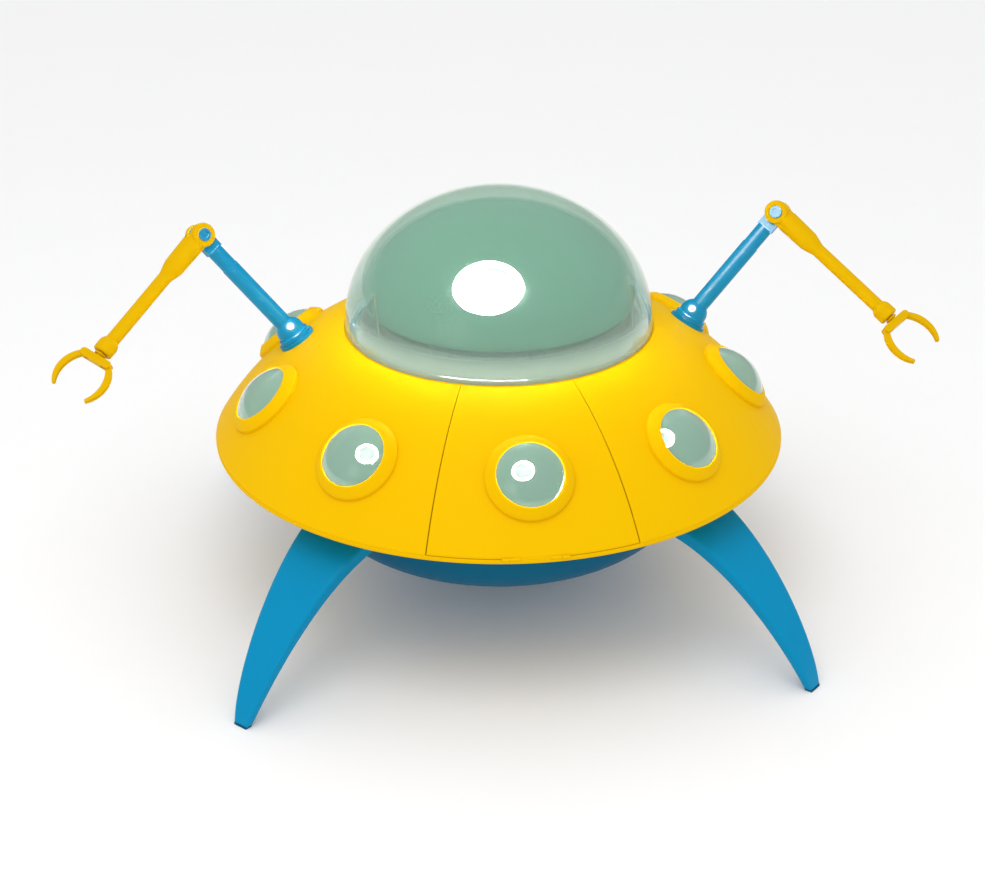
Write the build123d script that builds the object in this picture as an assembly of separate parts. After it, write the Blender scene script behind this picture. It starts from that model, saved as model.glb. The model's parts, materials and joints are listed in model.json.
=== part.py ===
from build123d import *
import math
import os

os.makedirs("parts", exist_ok=True)

# A flying-saucer kiddie ride, in millimetres. +Z is up, -Y is the front, and the
# origin is on the floor under the middle of the saucer.

# Saucer body
saucer_radius = 750.0
rim_height = 428.0          # underside of the rim band
band_height = 13.0
band_depth = 22.0
deck_radius = 402.0         # where the sloping shell meets the canopy coaming
deck_height = 726.0
shell_crown = 36.0          # rise of the shell's curve above its straight chord
shell_wall = 6.0
panel_gap = 0.5             # between pieces of the body that only lie side by side
rim_nose = 6.0              # rounding of the band's lower edge

# Underside and turntable
under_wall = 6.0
turntable_radius = 262.0
turntable_thickness = 10.0
lift_radius = 300.0         # the underside steps up outside this radius, over the legs
lift_run = 22.0
leg_air = 11.0              # height between the legs and the turning underside

# Coaming, tub and canopy
coaming_width = 42.0
coaming_height = 14.0
tub_wall = 5.0
tub_floor_radius = 262.0
tub_flange_width = 22.0
tub_flange_height = 4.0
canopy_set_in = 2.0         # from the deck's edge in to the canopy's foot
canopy_height = 348.0
canopy_wall = 6.0
dome_fullness = 0.552       # 0.552 gives an ellipse; more is squarer
canopy_lift = 6.0           # thickness of the seal under the canopy
canopy_foot_width = 14.0
canopy_foot_height = 9.0
ring_width = 20.0
ring_height = 8.0
liner_set_in = 48.0         # from the canopy's foot in to the liner
liner_lift = 72.0           # height of the liner's edge above the canopy's foot
liner_top_gap = 38.0
liner_wall = 4.0
liner_roll = 16.0           # how far the liner's edge rolls inwards
stay_radius = 3.0
stay_gap = 0.6              # between a stay's pad and the liner
stay_rod_gap = 0.2          # between a stay's rods and the liner
stay_rise = 128.0
stay_azimuths = (58.0, 71.0, 84.0)

# Canopy hinge, at the back
hinge_spacing = 90.0
hinge_offset = 20.0         # from the canopy's foot back to the pin
hinge_pin_radius = 5.0
hinge_eye_radius = 11.0
hinge_leaf_width = 16.0
hinge_ear_width = 10.0
hinge_gap = 0.6
pin_fit = 0.05

# Front service hatch
hatch_half_angle = 20.0
hatch_gap = 2.0
hatch_foot_gap = 4.0
hatch_pin_radius = 2.0
hatch_knuckle_radius = 4.0
hatch_groove_gap = 0.8
hatch_moving_eye = 26.0
hatch_moving_x = 48.0
hatch_fixed_eye = 18.0
hatch_fixed_x = 72.0

# Portholes
porthole_step = 40.0
porthole_seat_radius = 623.0    # from the saucer's axis to the middle of a porthole's seat
bezel_width = 27.0
bezel_rise = 27.0
lens_radius = 81.0
lens_fit = 0.5
lens_ledge = 8.0
lens_ledge_width = 8.5
lens_wall = 4.5
lens_skirt = 12.0
lens_bulge = 34.0
cup_wall = 2.5
cup_depth = 32.0
cup_flange = 2.0

# Legs
leg_azimuth = 45.0
leg_root_radius = 467.0
leg_tab_radius = 335.0
leg_reach = 1006.0
leg_shoulder_radius = 752.0     # pull of the leg's curve near its root
leg_shoulder_rise = 34.0
leg_shin_radius = 978.0         # pull of the leg's curve near its toe
leg_shin_height = 102.0
leg_root_thickness = 52.0
leg_toe_thickness = 17.0
leg_root_half_width = 126.0
leg_mid_half_width = 66.0
leg_toe_half_width = 20.0
leg_sections = 7
pad_thickness = 6.0
leg_bolt_radius = 8.0
leg_bolt_head_radius = 13.0
leg_bolt_head_height = 10.0
leg_bolt_spacing = 150.0
leg_bolt_bite = 38.0

# Belly pan and hub
hub_top = 357.0
hub_thickness = 12.0
pan_bottom = 157.0
pan_flat_radius = 331.0
pan_radius = 515.0
pan_corner_height = 147.0
pan_wall = 5.0
pan_ledge_width = 34.0
pan_ledge_thickness = 5.0
pan_air = 14.0              # between the pan's top edge and the turning underside
notch_gap = 2.0

# Slewing ring, pinion and drive
gear_module = 5.0
ring_teeth = 90
pinion_teeth = 18
pressure_angle = 20.0
backlash = 0.35
race_radius = 189.0
race_width = 38.0
race_gap = 0.5
gear_height = 34.0
race_height = 34.0
gear_lift = 4.0             # bottom of the slewing gear above the hub plate
shaft_radius = 12.0
shaft_clearance = 3.0
gearbox_size = 110.0
gearbox_height = 78.0
motor_radius = 44.0
motor_length = 86.0
slip_radius = 31.0
slip_depth = 56.0
slip_flange = 6.0
slip_rotor_radius = 20.0
wire_radius = 12.0
inlet_radius = 14.0
inlet_length = 26.0
inlet_height = 250.0

# Cockpit
seat_height = 74.0
seat_depth = 250.0
seat_width = 380.0
seat_front = 20.0
seat_back_thickness = 46.0
seat_back_height = 220.0
seat_gap = 2.0
console_width = 260.0
console_depth = 96.0
control_set_in = 21.085     # from the tub's wall at the socket's floor in to the stick's axis
trunnion_room = 0.6         # between a trunnion's end and the tub's wall
console_top = 190.0
stick_radius = 8.0
stick_length = 92.0
stick_ball_radius = 20.0
gimbal_radius = 20.0
gimbal_height = 16.0
gimbal_gap = 0.6
gimbal_slot = 12.5
trunnion_radius = 3.0
trunnion_bite = 5.0
socket_depth = 34.0
button_radius = 15.0
button_height = 14.0
button_gap = 0.4
button_travel = 5.0
button_offset = 80.0
box_width = 200.0
box_depth = 100.0
box_height = 84.0
box_middle = 470.0

# Arms (the right one, on +X; the left one is its mirror image)
shoulder_azimuth = 100.9
shoulder_seat_radius = 534.0
shoulder_ball_radius = 38.0
shoulder_ball_rise = 29.0
shoulder_flange_radius = 50.0
shoulder_flange_height = 8.0
shoulder_cup_radius = 43.0
shoulder_cup_height = 13.0
ball_gap = 0.4
upper_arm_azimuth = 93.9
upper_arm_elevation = 50.8
upper_arm_length = 349.0
upper_arm_radius = 23.0
upper_arm_neck_radius = 21.5
upper_arm_neck_length = 62.0
tongue_width = 22.0
tongue_radius = 27.0
tongue_length = 50.0
elbow_pin_radius = 8.0
elbow_head_radius = 16.5
elbow_head_height = 4.0
elbow_ear_width = 18.6
elbow_ear_radius = 31.0
elbow_slot_gap = 0.4
elbow_slot_room = 8.0       # from the tongue's round to the bottom of the fork's slot
forearm_azimuth = 47.6
forearm_elevation = -32.1
forearm_length = 422.0
clevis_length = 112.0
clevis_end_radius = 27.0
clevis_shoulder = 36.0      # length of the rounded step from the clevis down to the tube
forearm_radius = 18.0
socket_start = 364.0
socket_end = 406.0
socket_radius = 26.0
socket_flare = 18.0
neck_radius = 10.0
neck_fit = 0.06
neck_bore_depth = 26.0
neck_disc_radius = 16.0
neck_disc_width = 4.0
claw_roll = 47.2
claw_pin_spread = 37.0
claw_pin_radius = 4.0
claw_pin_fit = 0.08
claw_eye_radius = 10.0
claw_thickness = 12.0
claw_cheek = 5.0
claw_gap = 0.4
claw_radius = 75.0
claw_tip_angle = 135.0
claw_root_width = 13.0
claw_mid_width = 16.0
claw_tip_width = 7.0
claw_pin_drop = 5.0
claw_web = 20.0             # half width of the solid middle of the crossbar


# ---------- values that follow from the sizes above ----------
band_top = rim_height + band_height
leg_top = hub_top + leg_root_thickness
under_bottom = leg_top + leg_air
under_top = under_bottom + under_wall
gear_bottom = hub_top + gear_lift
gear_top = gear_bottom + gear_height
turntable_top = gear_top + turntable_thickness
cradle_top = turntable_top + under_wall
canopy_foot = deck_height + canopy_lift
coaming_inner = deck_radius - coaming_width
tub_radius = coaming_inner - panel_gap
tub_floor = cradle_top + tub_wall
shell_end_radius = saucer_radius - 1.0
hatch_axis_out = saucer_radius - 0.75 * hatch_knuckle_radius
hatch_axis_height = band_top + 0.5
canopy_radius = deck_radius - canopy_set_in
liner_radius = canopy_radius - liner_set_in
bezel_radius = lens_radius + bezel_width
hinge_y = canopy_radius + hinge_offset
hinge_z = canopy_foot + canopy_foot_height
clevis_half = tongue_width / 2 + elbow_slot_gap + elbow_ear_width
claw_centre = claw_pin_drop + math.sqrt((claw_radius - claw_root_width / 2) ** 2 - claw_pin_spread ** 2)

# The shell's outer curve is one arc, from the deck to the top of the rim band.
chord_run = shell_end_radius - deck_radius
chord_drop = deck_height - band_top
chord = math.hypot(chord_run, chord_drop)
arc_radius = (chord * chord / 4 + shell_crown * shell_crown) / (2 * shell_crown)
arc_back = arc_radius - shell_crown
arc_x = (deck_radius + shell_end_radius) / 2 - arc_back * chord_drop / chord
arc_z = (deck_height + band_top) / 2 - arc_back * chord_run / chord


def shell_slope(radius):
    """Elevation in degrees of the shell's normal at a distance from the axis."""
    return math.degrees(math.acos((radius - arc_x) / arc_radius))


def shell_point(angle, inset=0.0):
    """Radius and height of the shell's curve at a normal elevation, inset along it."""
    reach = arc_radius - inset
    turn = math.radians(angle)
    return (arc_x + reach * math.cos(turn), arc_z + reach * math.sin(turn))


top_angle = shell_slope(deck_radius)
end_angle = shell_slope(shell_end_radius)
middle_angle = (top_angle + end_angle) / 2


def direction(azimuth, elevation):
    """Unit vector; azimuth runs from the front (-Y) towards +X."""
    turn = math.radians(azimuth)
    lift = math.radians(elevation)
    flat = math.cos(lift)
    return Vector(flat * math.sin(turn), -flat * math.cos(turn), math.sin(lift))


def spun(*edges):
    """Solid of revolution about Z from a closed outline in radius and height."""
    return revolve(Plane.XZ * make_face(edges), Axis.Z)


def tube(outer, inner, bottom, top):
    """Upright ring between two radii and two heights."""
    ring = Pos(0, 0, bottom) * Cylinder(outer, top - bottom, align=(Align.CENTER, Align.CENTER, Align.MIN))
    if inner > 0:
        ring -= Pos(0, 0, bottom - 1) * Cylinder(
            inner, top - bottom + 2, align=(Align.CENTER, Align.CENTER, Align.MIN))
    return ring


def block(x_size, y_size, bottom, top, x=0.0, y=0.0):
    """Box centred on x and y between two heights."""
    return Pos(x, y, (bottom + top) / 2) * Box(x_size, y_size, top - bottom)


def around(azimuth):
    """Turn a piece made at the front (-Y) to an azimuth towards +X."""
    return Rot(0, 0, azimuth)


def mirrored(piece):
    """The left-hand copy of a right-hand piece."""
    return mirror(piece, about=Plane.YZ)


def group(pieces):
    """Several separate solids kept in one node."""
    return Compound(children=[solid for piece in pieces for solid in piece.solids()])


def seat_plane(azimuth, radius):
    """Plane on the shell's outside: local Z is the shell's normal, local X runs around the saucer."""
    angle = shell_slope(radius)
    out, height = shell_point(angle)
    turn = math.radians(azimuth)
    origin = Vector(out * math.sin(turn), -out * math.cos(turn), height)
    return Plane(origin, x_dir=Vector(math.cos(turn), math.sin(turn), 0), z_dir=direction(azimuth, angle))


# ---------- saucer body ----------
def shell_outline(outside, inside):
    """Closed outline of a shell between two insets from the outer curve."""
    return (
        ThreePointArc(shell_point(top_angle, outside), shell_point(middle_angle, outside),
                      shell_point(end_angle, outside)),
        Line(shell_point(end_angle, outside), shell_point(end_angle, inside)),
        ThreePointArc(shell_point(end_angle, inside), shell_point(middle_angle, inside),
                      shell_point(top_angle, inside)),
        Line(shell_point(top_angle, inside), shell_point(top_angle, outside)),
    )


def envelope():
    """Everything under the shell's outer curve, used to seat pieces on it."""
    top = shell_point(top_angle)
    end = shell_point(end_angle)
    return spun(
        ThreePointArc(top, shell_point(middle_angle), end),
        Polyline(end, (end[0], rim_height), (0, rim_height), (0, top[1]), top),
    )


def wedge(half_angle, inset=0.0):
    """Upright wedge at the front; its sides are moved in by the inset."""
    turn = math.radians(half_angle)
    start = inset / math.sin(turn)
    reach = saucer_radius * 1.5
    side = reach * math.tan(turn)
    outline = Polyline((0, -start), (side, -start - reach), (-side, -start - reach), (0, -start))
    return extrude(make_face(outline), deck_height + bezel_radius)


full_envelope = envelope()
shell_ring = spun(*shell_outline(0.0, shell_wall))
shell_ring -= tube(2 * saucer_radius, 0, 0, band_top)
shell_ring -= tube(deck_radius, 0, band_top, deck_height + 1)
porthole_azimuths = [porthole_step * turn for turn in range(1, 9)]


def porthole_hole(azimuth):
    hole = Cylinder(lens_radius - lens_ledge_width + lens_fit, 4 * bezel_rise)
    return seat_plane(azimuth, porthole_seat_radius) * hole


def upper_shell():
    shell = shell_ring - wedge(hatch_half_angle)
    for azimuth in porthole_azimuths:
        shell -= porthole_hole(azimuth)
    for azimuth in (shoulder_azimuth, -shoulder_azimuth):
        shell -= seat_plane(azimuth, shoulder_seat_radius) * Cylinder(
            shoulder_ball_radius - shoulder_ball_rise / 3, 4 * shell_wall)
    return shell


def rim_band():
    """Rounded band round the edge, with the fixed eyes of the hatch's hinge."""
    inner = saucer_radius - band_depth
    band = spun(Polyline((inner, rim_height), (saucer_radius, rim_height), (saucer_radius, band_top),
                         (inner, band_top), (inner, rim_height)))
    lower = band.edges().filter_by(GeomType.CIRCLE).group_by(Axis.Z)[0].sort_by(SortBy.RADIUS)[-1]
    band = fillet(lower, rim_nose)
    band -= hinge_groove()
    for side in (-1, 1):
        web = block(hatch_fixed_eye, hatch_axis_out - inner, rim_height + rim_nose, hatch_axis_height,
                    side * hatch_fixed_x, -(hatch_axis_out + inner) / 2)
        eye = hatch_eye(side * hatch_fixed_x, hatch_fixed_eye)
        band += (web - hatch_bore()) + eye
    return band


def under_shell():
    """Pan that closes the saucer from below and rests on the turntable."""
    edge = saucer_radius - band_depth
    rise = lift_radius + lift_run
    return spun(Polyline(
        (slip_radius, turntable_top), (lift_radius, turntable_top), (rise, under_bottom), (edge - 4, under_bottom),
        (edge - 4, rim_height), (edge, rim_height), (edge, rim_height + under_wall),
        (edge - 4 - under_wall, rim_height + under_wall), (edge - 4 - under_wall, under_top),
        (rise - under_wall / 2, under_top), (lift_radius - under_wall / 2, cradle_top), (slip_radius, cradle_top),
        (slip_radius, turntable_top)))


def coaming_ring():
    return tube(deck_radius - panel_gap, coaming_inner, deck_height - coaming_height, deck_height)


def canopy_seal():
    outer = canopy_radius - 2
    return tube(outer, outer - canopy_foot_width + 4, deck_height, canopy_foot)


# ---------- portholes ----------
def porthole_bezel(azimuth):
    """Raised ring round a porthole, seated on the shell's curve."""
    bore = lens_radius + lens_fit
    ledge = lens_radius - lens_ledge_width
    profile = make_face([
        Line((ledge, -bezel_rise), (bezel_radius, -bezel_rise)),
        Line((bezel_radius, -bezel_rise), (bezel_radius, 0)),
        ThreePointArc((bezel_radius, 0), (bezel_radius - 5, bezel_rise * 0.62), (bore + 8, bezel_rise)),
        ThreePointArc((bore + 8, bezel_rise), (bore + 3.5, bezel_rise - 0.5), (bore, bezel_rise - 3.5)),
        Polyline((bore, bezel_rise - 3.5), (bore, lens_ledge), (ledge, lens_ledge), (ledge, -bezel_rise)),
    ])
    ring = revolve(Plane.XZ * profile, Axis.Z)
    return seat_plane(azimuth, porthole_seat_radius) * ring - full_envelope


def porthole_lens(azimuth):
    """Domed clear lens with a short skirt that stands on the bezel's ledge."""
    inner = lens_radius - lens_wall
    top = lens_ledge + lens_skirt
    outer_mid = dome_middle(lens_radius, lens_bulge)
    inner_mid = dome_middle(inner, lens_bulge - lens_wall)
    profile = make_face([
        Polyline((inner, top), (inner, lens_ledge), (lens_radius, lens_ledge), (lens_radius, top)),
        ThreePointArc((lens_radius, top), (outer_mid[0], top + outer_mid[1]), (0, top + lens_bulge)),
        Line((0, top + lens_bulge), (0, top + lens_bulge - lens_wall)),
        ThreePointArc((0, top + lens_bulge - lens_wall), (inner_mid[0], top + inner_mid[1]), (inner, top)),
    ])
    return seat_plane(azimuth, porthole_seat_radius) * revolve(Plane.XZ * profile, Axis.Z)


def dome_middle(radius, rise):
    """A point halfway along the arc of a round dome of a base radius and a rise."""
    ball = (radius * radius + rise * rise) / (2 * rise)
    half = math.asin(radius / ball) / 2
    return (ball * math.sin(half), rise - ball * (1 - math.cos(half)))


def lamp_cup(azimuth):
    """Lamp housing hung in a porthole, with a low lamp in its floor."""
    outer = lens_radius - lens_ledge_width - lens_fit
    lip = lens_radius - lens_wall - lens_fit
    cup = tube(outer, outer - cup_wall, -cup_depth, lens_ledge + cup_flange)
    cup += tube(lip, outer - cup_wall, lens_ledge, lens_ledge + cup_flange)
    cup += tube(outer, 0, -cup_depth - cup_wall, -cup_depth)
    cup += tube(outer / 3, 0, -cup_depth, -cup_depth + 3 * cup_wall)
    return seat_plane(azimuth, porthole_seat_radius) * cup


# ---------- front service hatch ----------
def hatch_bore():
    """Clearance for the hatch's pin, along X."""
    return Pos(0, -hatch_axis_out, hatch_axis_height) * Rot(0, 90, 0) * Cylinder(
        hatch_pin_radius + pin_fit, 3 * hatch_fixed_x)


def hatch_eye(x_mid, length):
    eye = Pos(x_mid, -hatch_axis_out, hatch_axis_height) * Rot(0, 90, 0) * Cylinder(hatch_knuckle_radius, length)
    return eye - hatch_bore()


def hinge_groove():
    """Room for the hatch's hinge in the band and in the panel."""
    length = 2 * hatch_fixed_x + hatch_fixed_eye + hatch_gap
    return Pos(0, -hatch_axis_out, hatch_axis_height) * Rot(0, 90, 0) * Cylinder(
        hatch_knuckle_radius + hatch_groove_gap, length)


def service_hatch():
    """Front sector of the shell, with two hinge eyes at its foot."""
    panel = shell_ring & wedge(hatch_half_angle, hatch_gap)
    panel -= block(2 * saucer_radius, 2 * saucer_radius, 0, band_top + hatch_foot_gap)
    panel -= porthole_hole(0)
    panel -= hinge_groove()
    tail_top = band_top + 4 * hatch_knuckle_radius
    for side in (-1, 1):
        x_mid = side * hatch_moving_x
        tail = block(hatch_moving_eye, 5 * hatch_knuckle_radius, hatch_axis_height, tail_top, x_mid,
                     -hatch_axis_out + hatch_knuckle_radius * 2)
        tail = (tail & full_envelope) - hatch_bore()
        panel += tail + hatch_eye(x_mid, hatch_moving_eye)
    return panel


def hatch_hinge_pin():
    length = 2 * hatch_fixed_x + hatch_fixed_eye
    return Pos(0, -hatch_axis_out, hatch_axis_height) * Rot(0, 90, 0) * Cylinder(hatch_pin_radius, length)


# ---------- canopy ----------
def dome_outline(radius, height, base):
    """Quarter of an oval, upright at the base circle and level at the top."""
    return Bezier((radius, base), (radius, base + dome_fullness * height),
                  (dome_fullness * radius, base + height), (0, base + height))


def canopy_shell():
    """Clear outer bubble with a foot flange."""
    inner = canopy_radius - canopy_wall
    foot_top = canopy_foot + canopy_foot_height
    foot_inner = canopy_radius - canopy_foot_width
    return spun(
        Line((foot_inner, canopy_foot), (canopy_radius, canopy_foot)),
        Line((canopy_radius, canopy_foot), (canopy_radius, foot_top)),
        dome_outline(canopy_radius, canopy_height - canopy_foot_height, foot_top),
        Line((0, canopy_foot + canopy_height), (0, canopy_foot + canopy_height - canopy_wall)),
        dome_outline(inner, canopy_height - canopy_foot_height - canopy_wall, foot_top),
        Polyline((inner, foot_top), (foot_inner, foot_top), (foot_inner, canopy_foot)),
    )


def canopy_liner():
    """Tinted inner bubble whose lower edge rolls inwards."""
    base = canopy_foot + liner_lift
    height = canopy_height - liner_lift - liner_top_gap
    inner = liner_radius - liner_wall
    lip = liner_radius - liner_roll
    return spun(
        dome_outline(liner_radius, height, base),
        Line((0, base + height), (0, base + height - liner_wall)),
        dome_outline(inner, height - liner_wall, base),
        ThreePointArc((inner, base), (inner - liner_roll * 0.22, base - liner_roll * 0.55),
                      (lip - liner_wall, base - liner_roll + liner_wall * 0.6)),
        Line((lip - liner_wall, base - liner_roll + liner_wall * 0.6), (lip - liner_wall * 0.6, base - liner_roll)),
        ThreePointArc((lip - liner_wall * 0.6, base - liner_roll), (liner_radius - liner_roll * 0.2,
                      base - liner_roll * 0.6), (liner_radius, base)),
    )


def canopy_ring():
    """Stiffening ring inside the canopy's foot."""
    outer = canopy_radius - canopy_foot_width
    return tube(outer, outer - ring_width, canopy_foot, canopy_foot + ring_height)


def canopy_pin_bore():
    return Pos(0, hinge_y, hinge_z) * Rot(0, 90, 0) * Cylinder(hinge_pin_radius + pin_fit, 4 * hinge_spacing)


ear_reach = hinge_leaf_width / 2 + hinge_gap + hinge_ear_width / 2


def canopy_ear_pair(side):
    """Two ears and the plate that joins them, bonded to the back of the canopy's foot."""
    x_mid = side * hinge_spacing
    plate_front = canopy_radius - hinge_offset
    plate_back = hinge_y - hinge_eye_radius - hinge_gap
    pair = block(2 * ear_reach + hinge_ear_width, plate_back - plate_front, canopy_foot + 1, hinge_z - 2, x_mid,
                 (plate_front + plate_back) / 2)
    for end in (-1, 1):
        ear_x = x_mid + end * ear_reach
        pair += block(hinge_ear_width, hinge_y - plate_front, canopy_foot + 1, hinge_z, ear_x,
                      (hinge_y + plate_front) / 2)
        pair += Pos(ear_x, hinge_y, hinge_z) * Rot(0, 90, 0) * Cylinder(hinge_eye_radius, hinge_ear_width)
    pair -= tube(canopy_radius, 0, 0, canopy_foot + canopy_height)
    return pair - canopy_pin_bore()


def canopy_fixed_leaf(side):
    """Post on the shell that carries the middle of one hinge."""
    x_mid = side * hinge_spacing
    post = block(hinge_leaf_width, 1.8 * hinge_eye_radius, band_top, hinge_z, x_mid, hinge_y)
    foot = block(3 * hinge_leaf_width, 2.6 * hinge_eye_radius, band_top, hinge_z - 1.8 * hinge_eye_radius, x_mid,
                 hinge_y + hinge_eye_radius / 2)
    eye = Pos(x_mid, hinge_y, hinge_z) * Rot(0, 90, 0) * Cylinder(hinge_eye_radius, hinge_leaf_width)
    return post + foot + eye - full_envelope - canopy_pin_bore()


def canopy_pin(side):
    length = 2 * ear_reach + hinge_ear_width
    return Pos(side * hinge_spacing, hinge_y, hinge_z) * Rot(0, 90, 0) * Cylinder(hinge_pin_radius, length)


def rod_between(start, end, radius):
    """Straight round rod from one point to another."""
    run = end - start
    return Plane(start, z_dir=run) * Cylinder(radius, run.length, align=(Align.CENTER, Align.CENTER, Align.MIN))


def liner_reach(height):
    """Outer radius of the liner at a height above the canopy's foot."""
    rise = (height - liner_lift) / (canopy_height - liner_lift - liner_top_gap)
    return liner_radius * math.sqrt(1 - rise * rise)


def canopy_stay(side):
    """Inverted V of two rods from the ring up to the liner, with a pad at its top."""
    foot_radius = canopy_radius - canopy_foot_width - ring_width / 2
    foot_height = canopy_foot + ring_height
    top_radius = liner_reach(stay_rise) + 2 * stay_radius + stay_gap
    half_spread = math.radians(stay_azimuths[2] - stay_azimuths[1])
    for height in range(math.ceil(liner_lift), math.floor(stay_rise)):
        # both rods clear the liner's side on their way up
        share = (height - ring_height) / (stay_rise - ring_height)
        clear = liner_reach(height) + stay_radius + stay_rod_gap
        top_radius = max(top_radius, (clear - (1 - share) * foot_radius * math.cos(half_spread)) / share)
    top = direction(side * stay_azimuths[1], 0) * top_radius + Vector(0, 0, canopy_foot + stay_rise)
    stay = Pos(*top) * Sphere(2 * stay_radius)
    for azimuth in (stay_azimuths[0], stay_azimuths[2]):
        foot = direction(side * azimuth, 0) * foot_radius + Vector(0, 0, foot_height)
        stay += rod_between(foot, top, stay_radius)
    return stay - tube(canopy_radius, 0, 0, foot_height)


# ---------- legs ----------
leg_curve = Bezier((leg_root_radius, leg_top), (leg_shoulder_radius, leg_top + leg_shoulder_rise),
                   (leg_shin_radius, leg_shin_height), (leg_reach, 0))


def leg_half_width(share):
    """Half width of the blade at a share of its curve, root to toe."""
    back = 1 - share
    return (leg_root_half_width * back * back + 2 * leg_mid_half_width * back * share
            + leg_toe_half_width * share * share)


def leg_blade():
    """Curved tapering blade in the front direction, down to the floor."""
    sections = []
    for index in range(leg_sections):
        share = index / (leg_sections - 1)
        point = leg_curve.position_at(share, position_mode=PositionMode.PARAMETER)
        slope = leg_curve.tangent_at(share, position_mode=PositionMode.PARAMETER)
        if index == 0:
            slope = Vector(1, 0, 0)
        thickness = leg_root_thickness * (1 - share) + leg_toe_thickness * share
        under = Vector(slope.Y, -slope.X, 0)
        middle = point + under * (thickness / 2)
        plane = Plane((0, -middle.X, middle.Y), x_dir=(1, 0, 0), z_dir=(0, -slope.X, slope.Y))
        sections.append(plane * Rectangle(2 * leg_half_width(share), thickness))
    blade = loft(sections)
    tab = block(2 * leg_root_half_width, leg_root_radius - leg_tab_radius, hub_top, leg_top, 0,
                -(leg_root_radius + leg_tab_radius) / 2)
    return blade + tab


blade = leg_blade()


def leg_bolt_places():
    across = leg_bolt_spacing / 2
    near = leg_tab_radius + (leg_root_radius - leg_tab_radius) * 0.25
    far = leg_tab_radius + (leg_root_radius - leg_tab_radius) * 0.75
    return [(x, -y) for x in (-across, across) for y in (near, far)]


def leg(azimuth):
    piece = blade - block(4 * leg_reach, 4 * leg_reach, -leg_reach, pad_thickness)
    for x, y in leg_bolt_places():
        piece -= Pos(x, y, 0) * tube(leg_bolt_radius + pin_fit, 0, hub_top - 1, hub_top + leg_bolt_bite + 1)
    return around(azimuth) * piece


def foot_pad(azimuth):
    """Rubber sole that carries on the shape of the toe."""
    return around(azimuth) * (blade & block(4 * leg_reach, 4 * leg_reach, 0, pad_thickness))


def leg_bolt(azimuth, x, y):
    """Hexagon-head bolt from below the hub plate up into a leg."""
    bottom = hub_top - hub_thickness - leg_bolt_head_height
    bolt = tube(leg_bolt_radius, 0, bottom, hub_top + leg_bolt_bite)
    bolt += Pos(0, 0, bottom) * extrude(RegularPolygon(leg_bolt_head_radius, 6), leg_bolt_head_height)
    return around(azimuth) * Pos(x, y, 0) * bolt


leg_azimuths = {"front_right": leg_azimuth, "front_left": -leg_azimuth,
                "rear_right": 180 - leg_azimuth, "rear_left": leg_azimuth - 180}


# ---------- belly and drive ----------
pinion_distance = gear_module * (ring_teeth + pinion_teeth) / 2


def belly_pan():
    """Round pan hung under the hub plate, notched where the legs pass."""
    corner = pan_bottom + pan_corner_height
    top = under_bottom - pan_air
    run = pan_radius - pan_flat_radius
    inner = pan_radius - pan_wall
    ledge_top = hub_top - hub_thickness
    pan = spun(
        Line((0, pan_bottom), (pan_flat_radius, pan_bottom)),
        EllipticalCenterArc((pan_flat_radius, corner), run, pan_corner_height, start_angle=-90, arc_size=90),
        Polyline((pan_radius, corner), (pan_radius, top), (inner, top), (inner, ledge_top),
                 (inner - pan_ledge_width, ledge_top), (inner - pan_ledge_width, ledge_top - pan_ledge_thickness),
                 (inner, ledge_top - pan_ledge_thickness), (inner, corner)),
        EllipticalCenterArc((pan_flat_radius, corner), run - pan_wall, pan_corner_height - pan_wall,
                            start_angle=-90, arc_size=90),
        Polyline((pan_flat_radius, pan_bottom + pan_wall), (0, pan_bottom + pan_wall), (0, pan_bottom)),
    )
    for azimuth in leg_azimuths.values():
        pan -= around(azimuth) * block(2 * (leg_root_half_width + notch_gap), pan_radius, hub_top - notch_gap, top + 1,
                                       0, -pan_radius)
    pan -= Pos(0, pan_radius, inlet_height) * Rot(90, 0, 0) * Cylinder(inlet_radius - 3, 6 * pan_radius / 5)
    return pan


def hub_plate():
    """Steel disc that carries the legs, the slewing ring and the drive."""
    plate = tube(pan_radius - pan_wall - panel_gap, slip_radius + panel_gap, hub_top - hub_thickness, hub_top)
    plate -= Pos(0, pinion_distance, 0) * tube(shaft_radius + shaft_clearance, 0, 0, hub_top + 1)
    for azimuth in leg_azimuths.values():
        for x, y in leg_bolt_places():
            plate -= around(azimuth) * Pos(x, y, 0) * tube(leg_bolt_radius + pin_fit, 0, 0, hub_top + 1)
    return plate


def bearing_race():
    return tube(race_radius, race_radius - race_width, hub_top, hub_top + race_height)


def involute(base, angle):
    """Point on the involute of a base circle after unrolling by an angle in radians."""
    reach = base * math.hypot(1, angle)
    return reach, angle - math.atan(angle)


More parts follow.
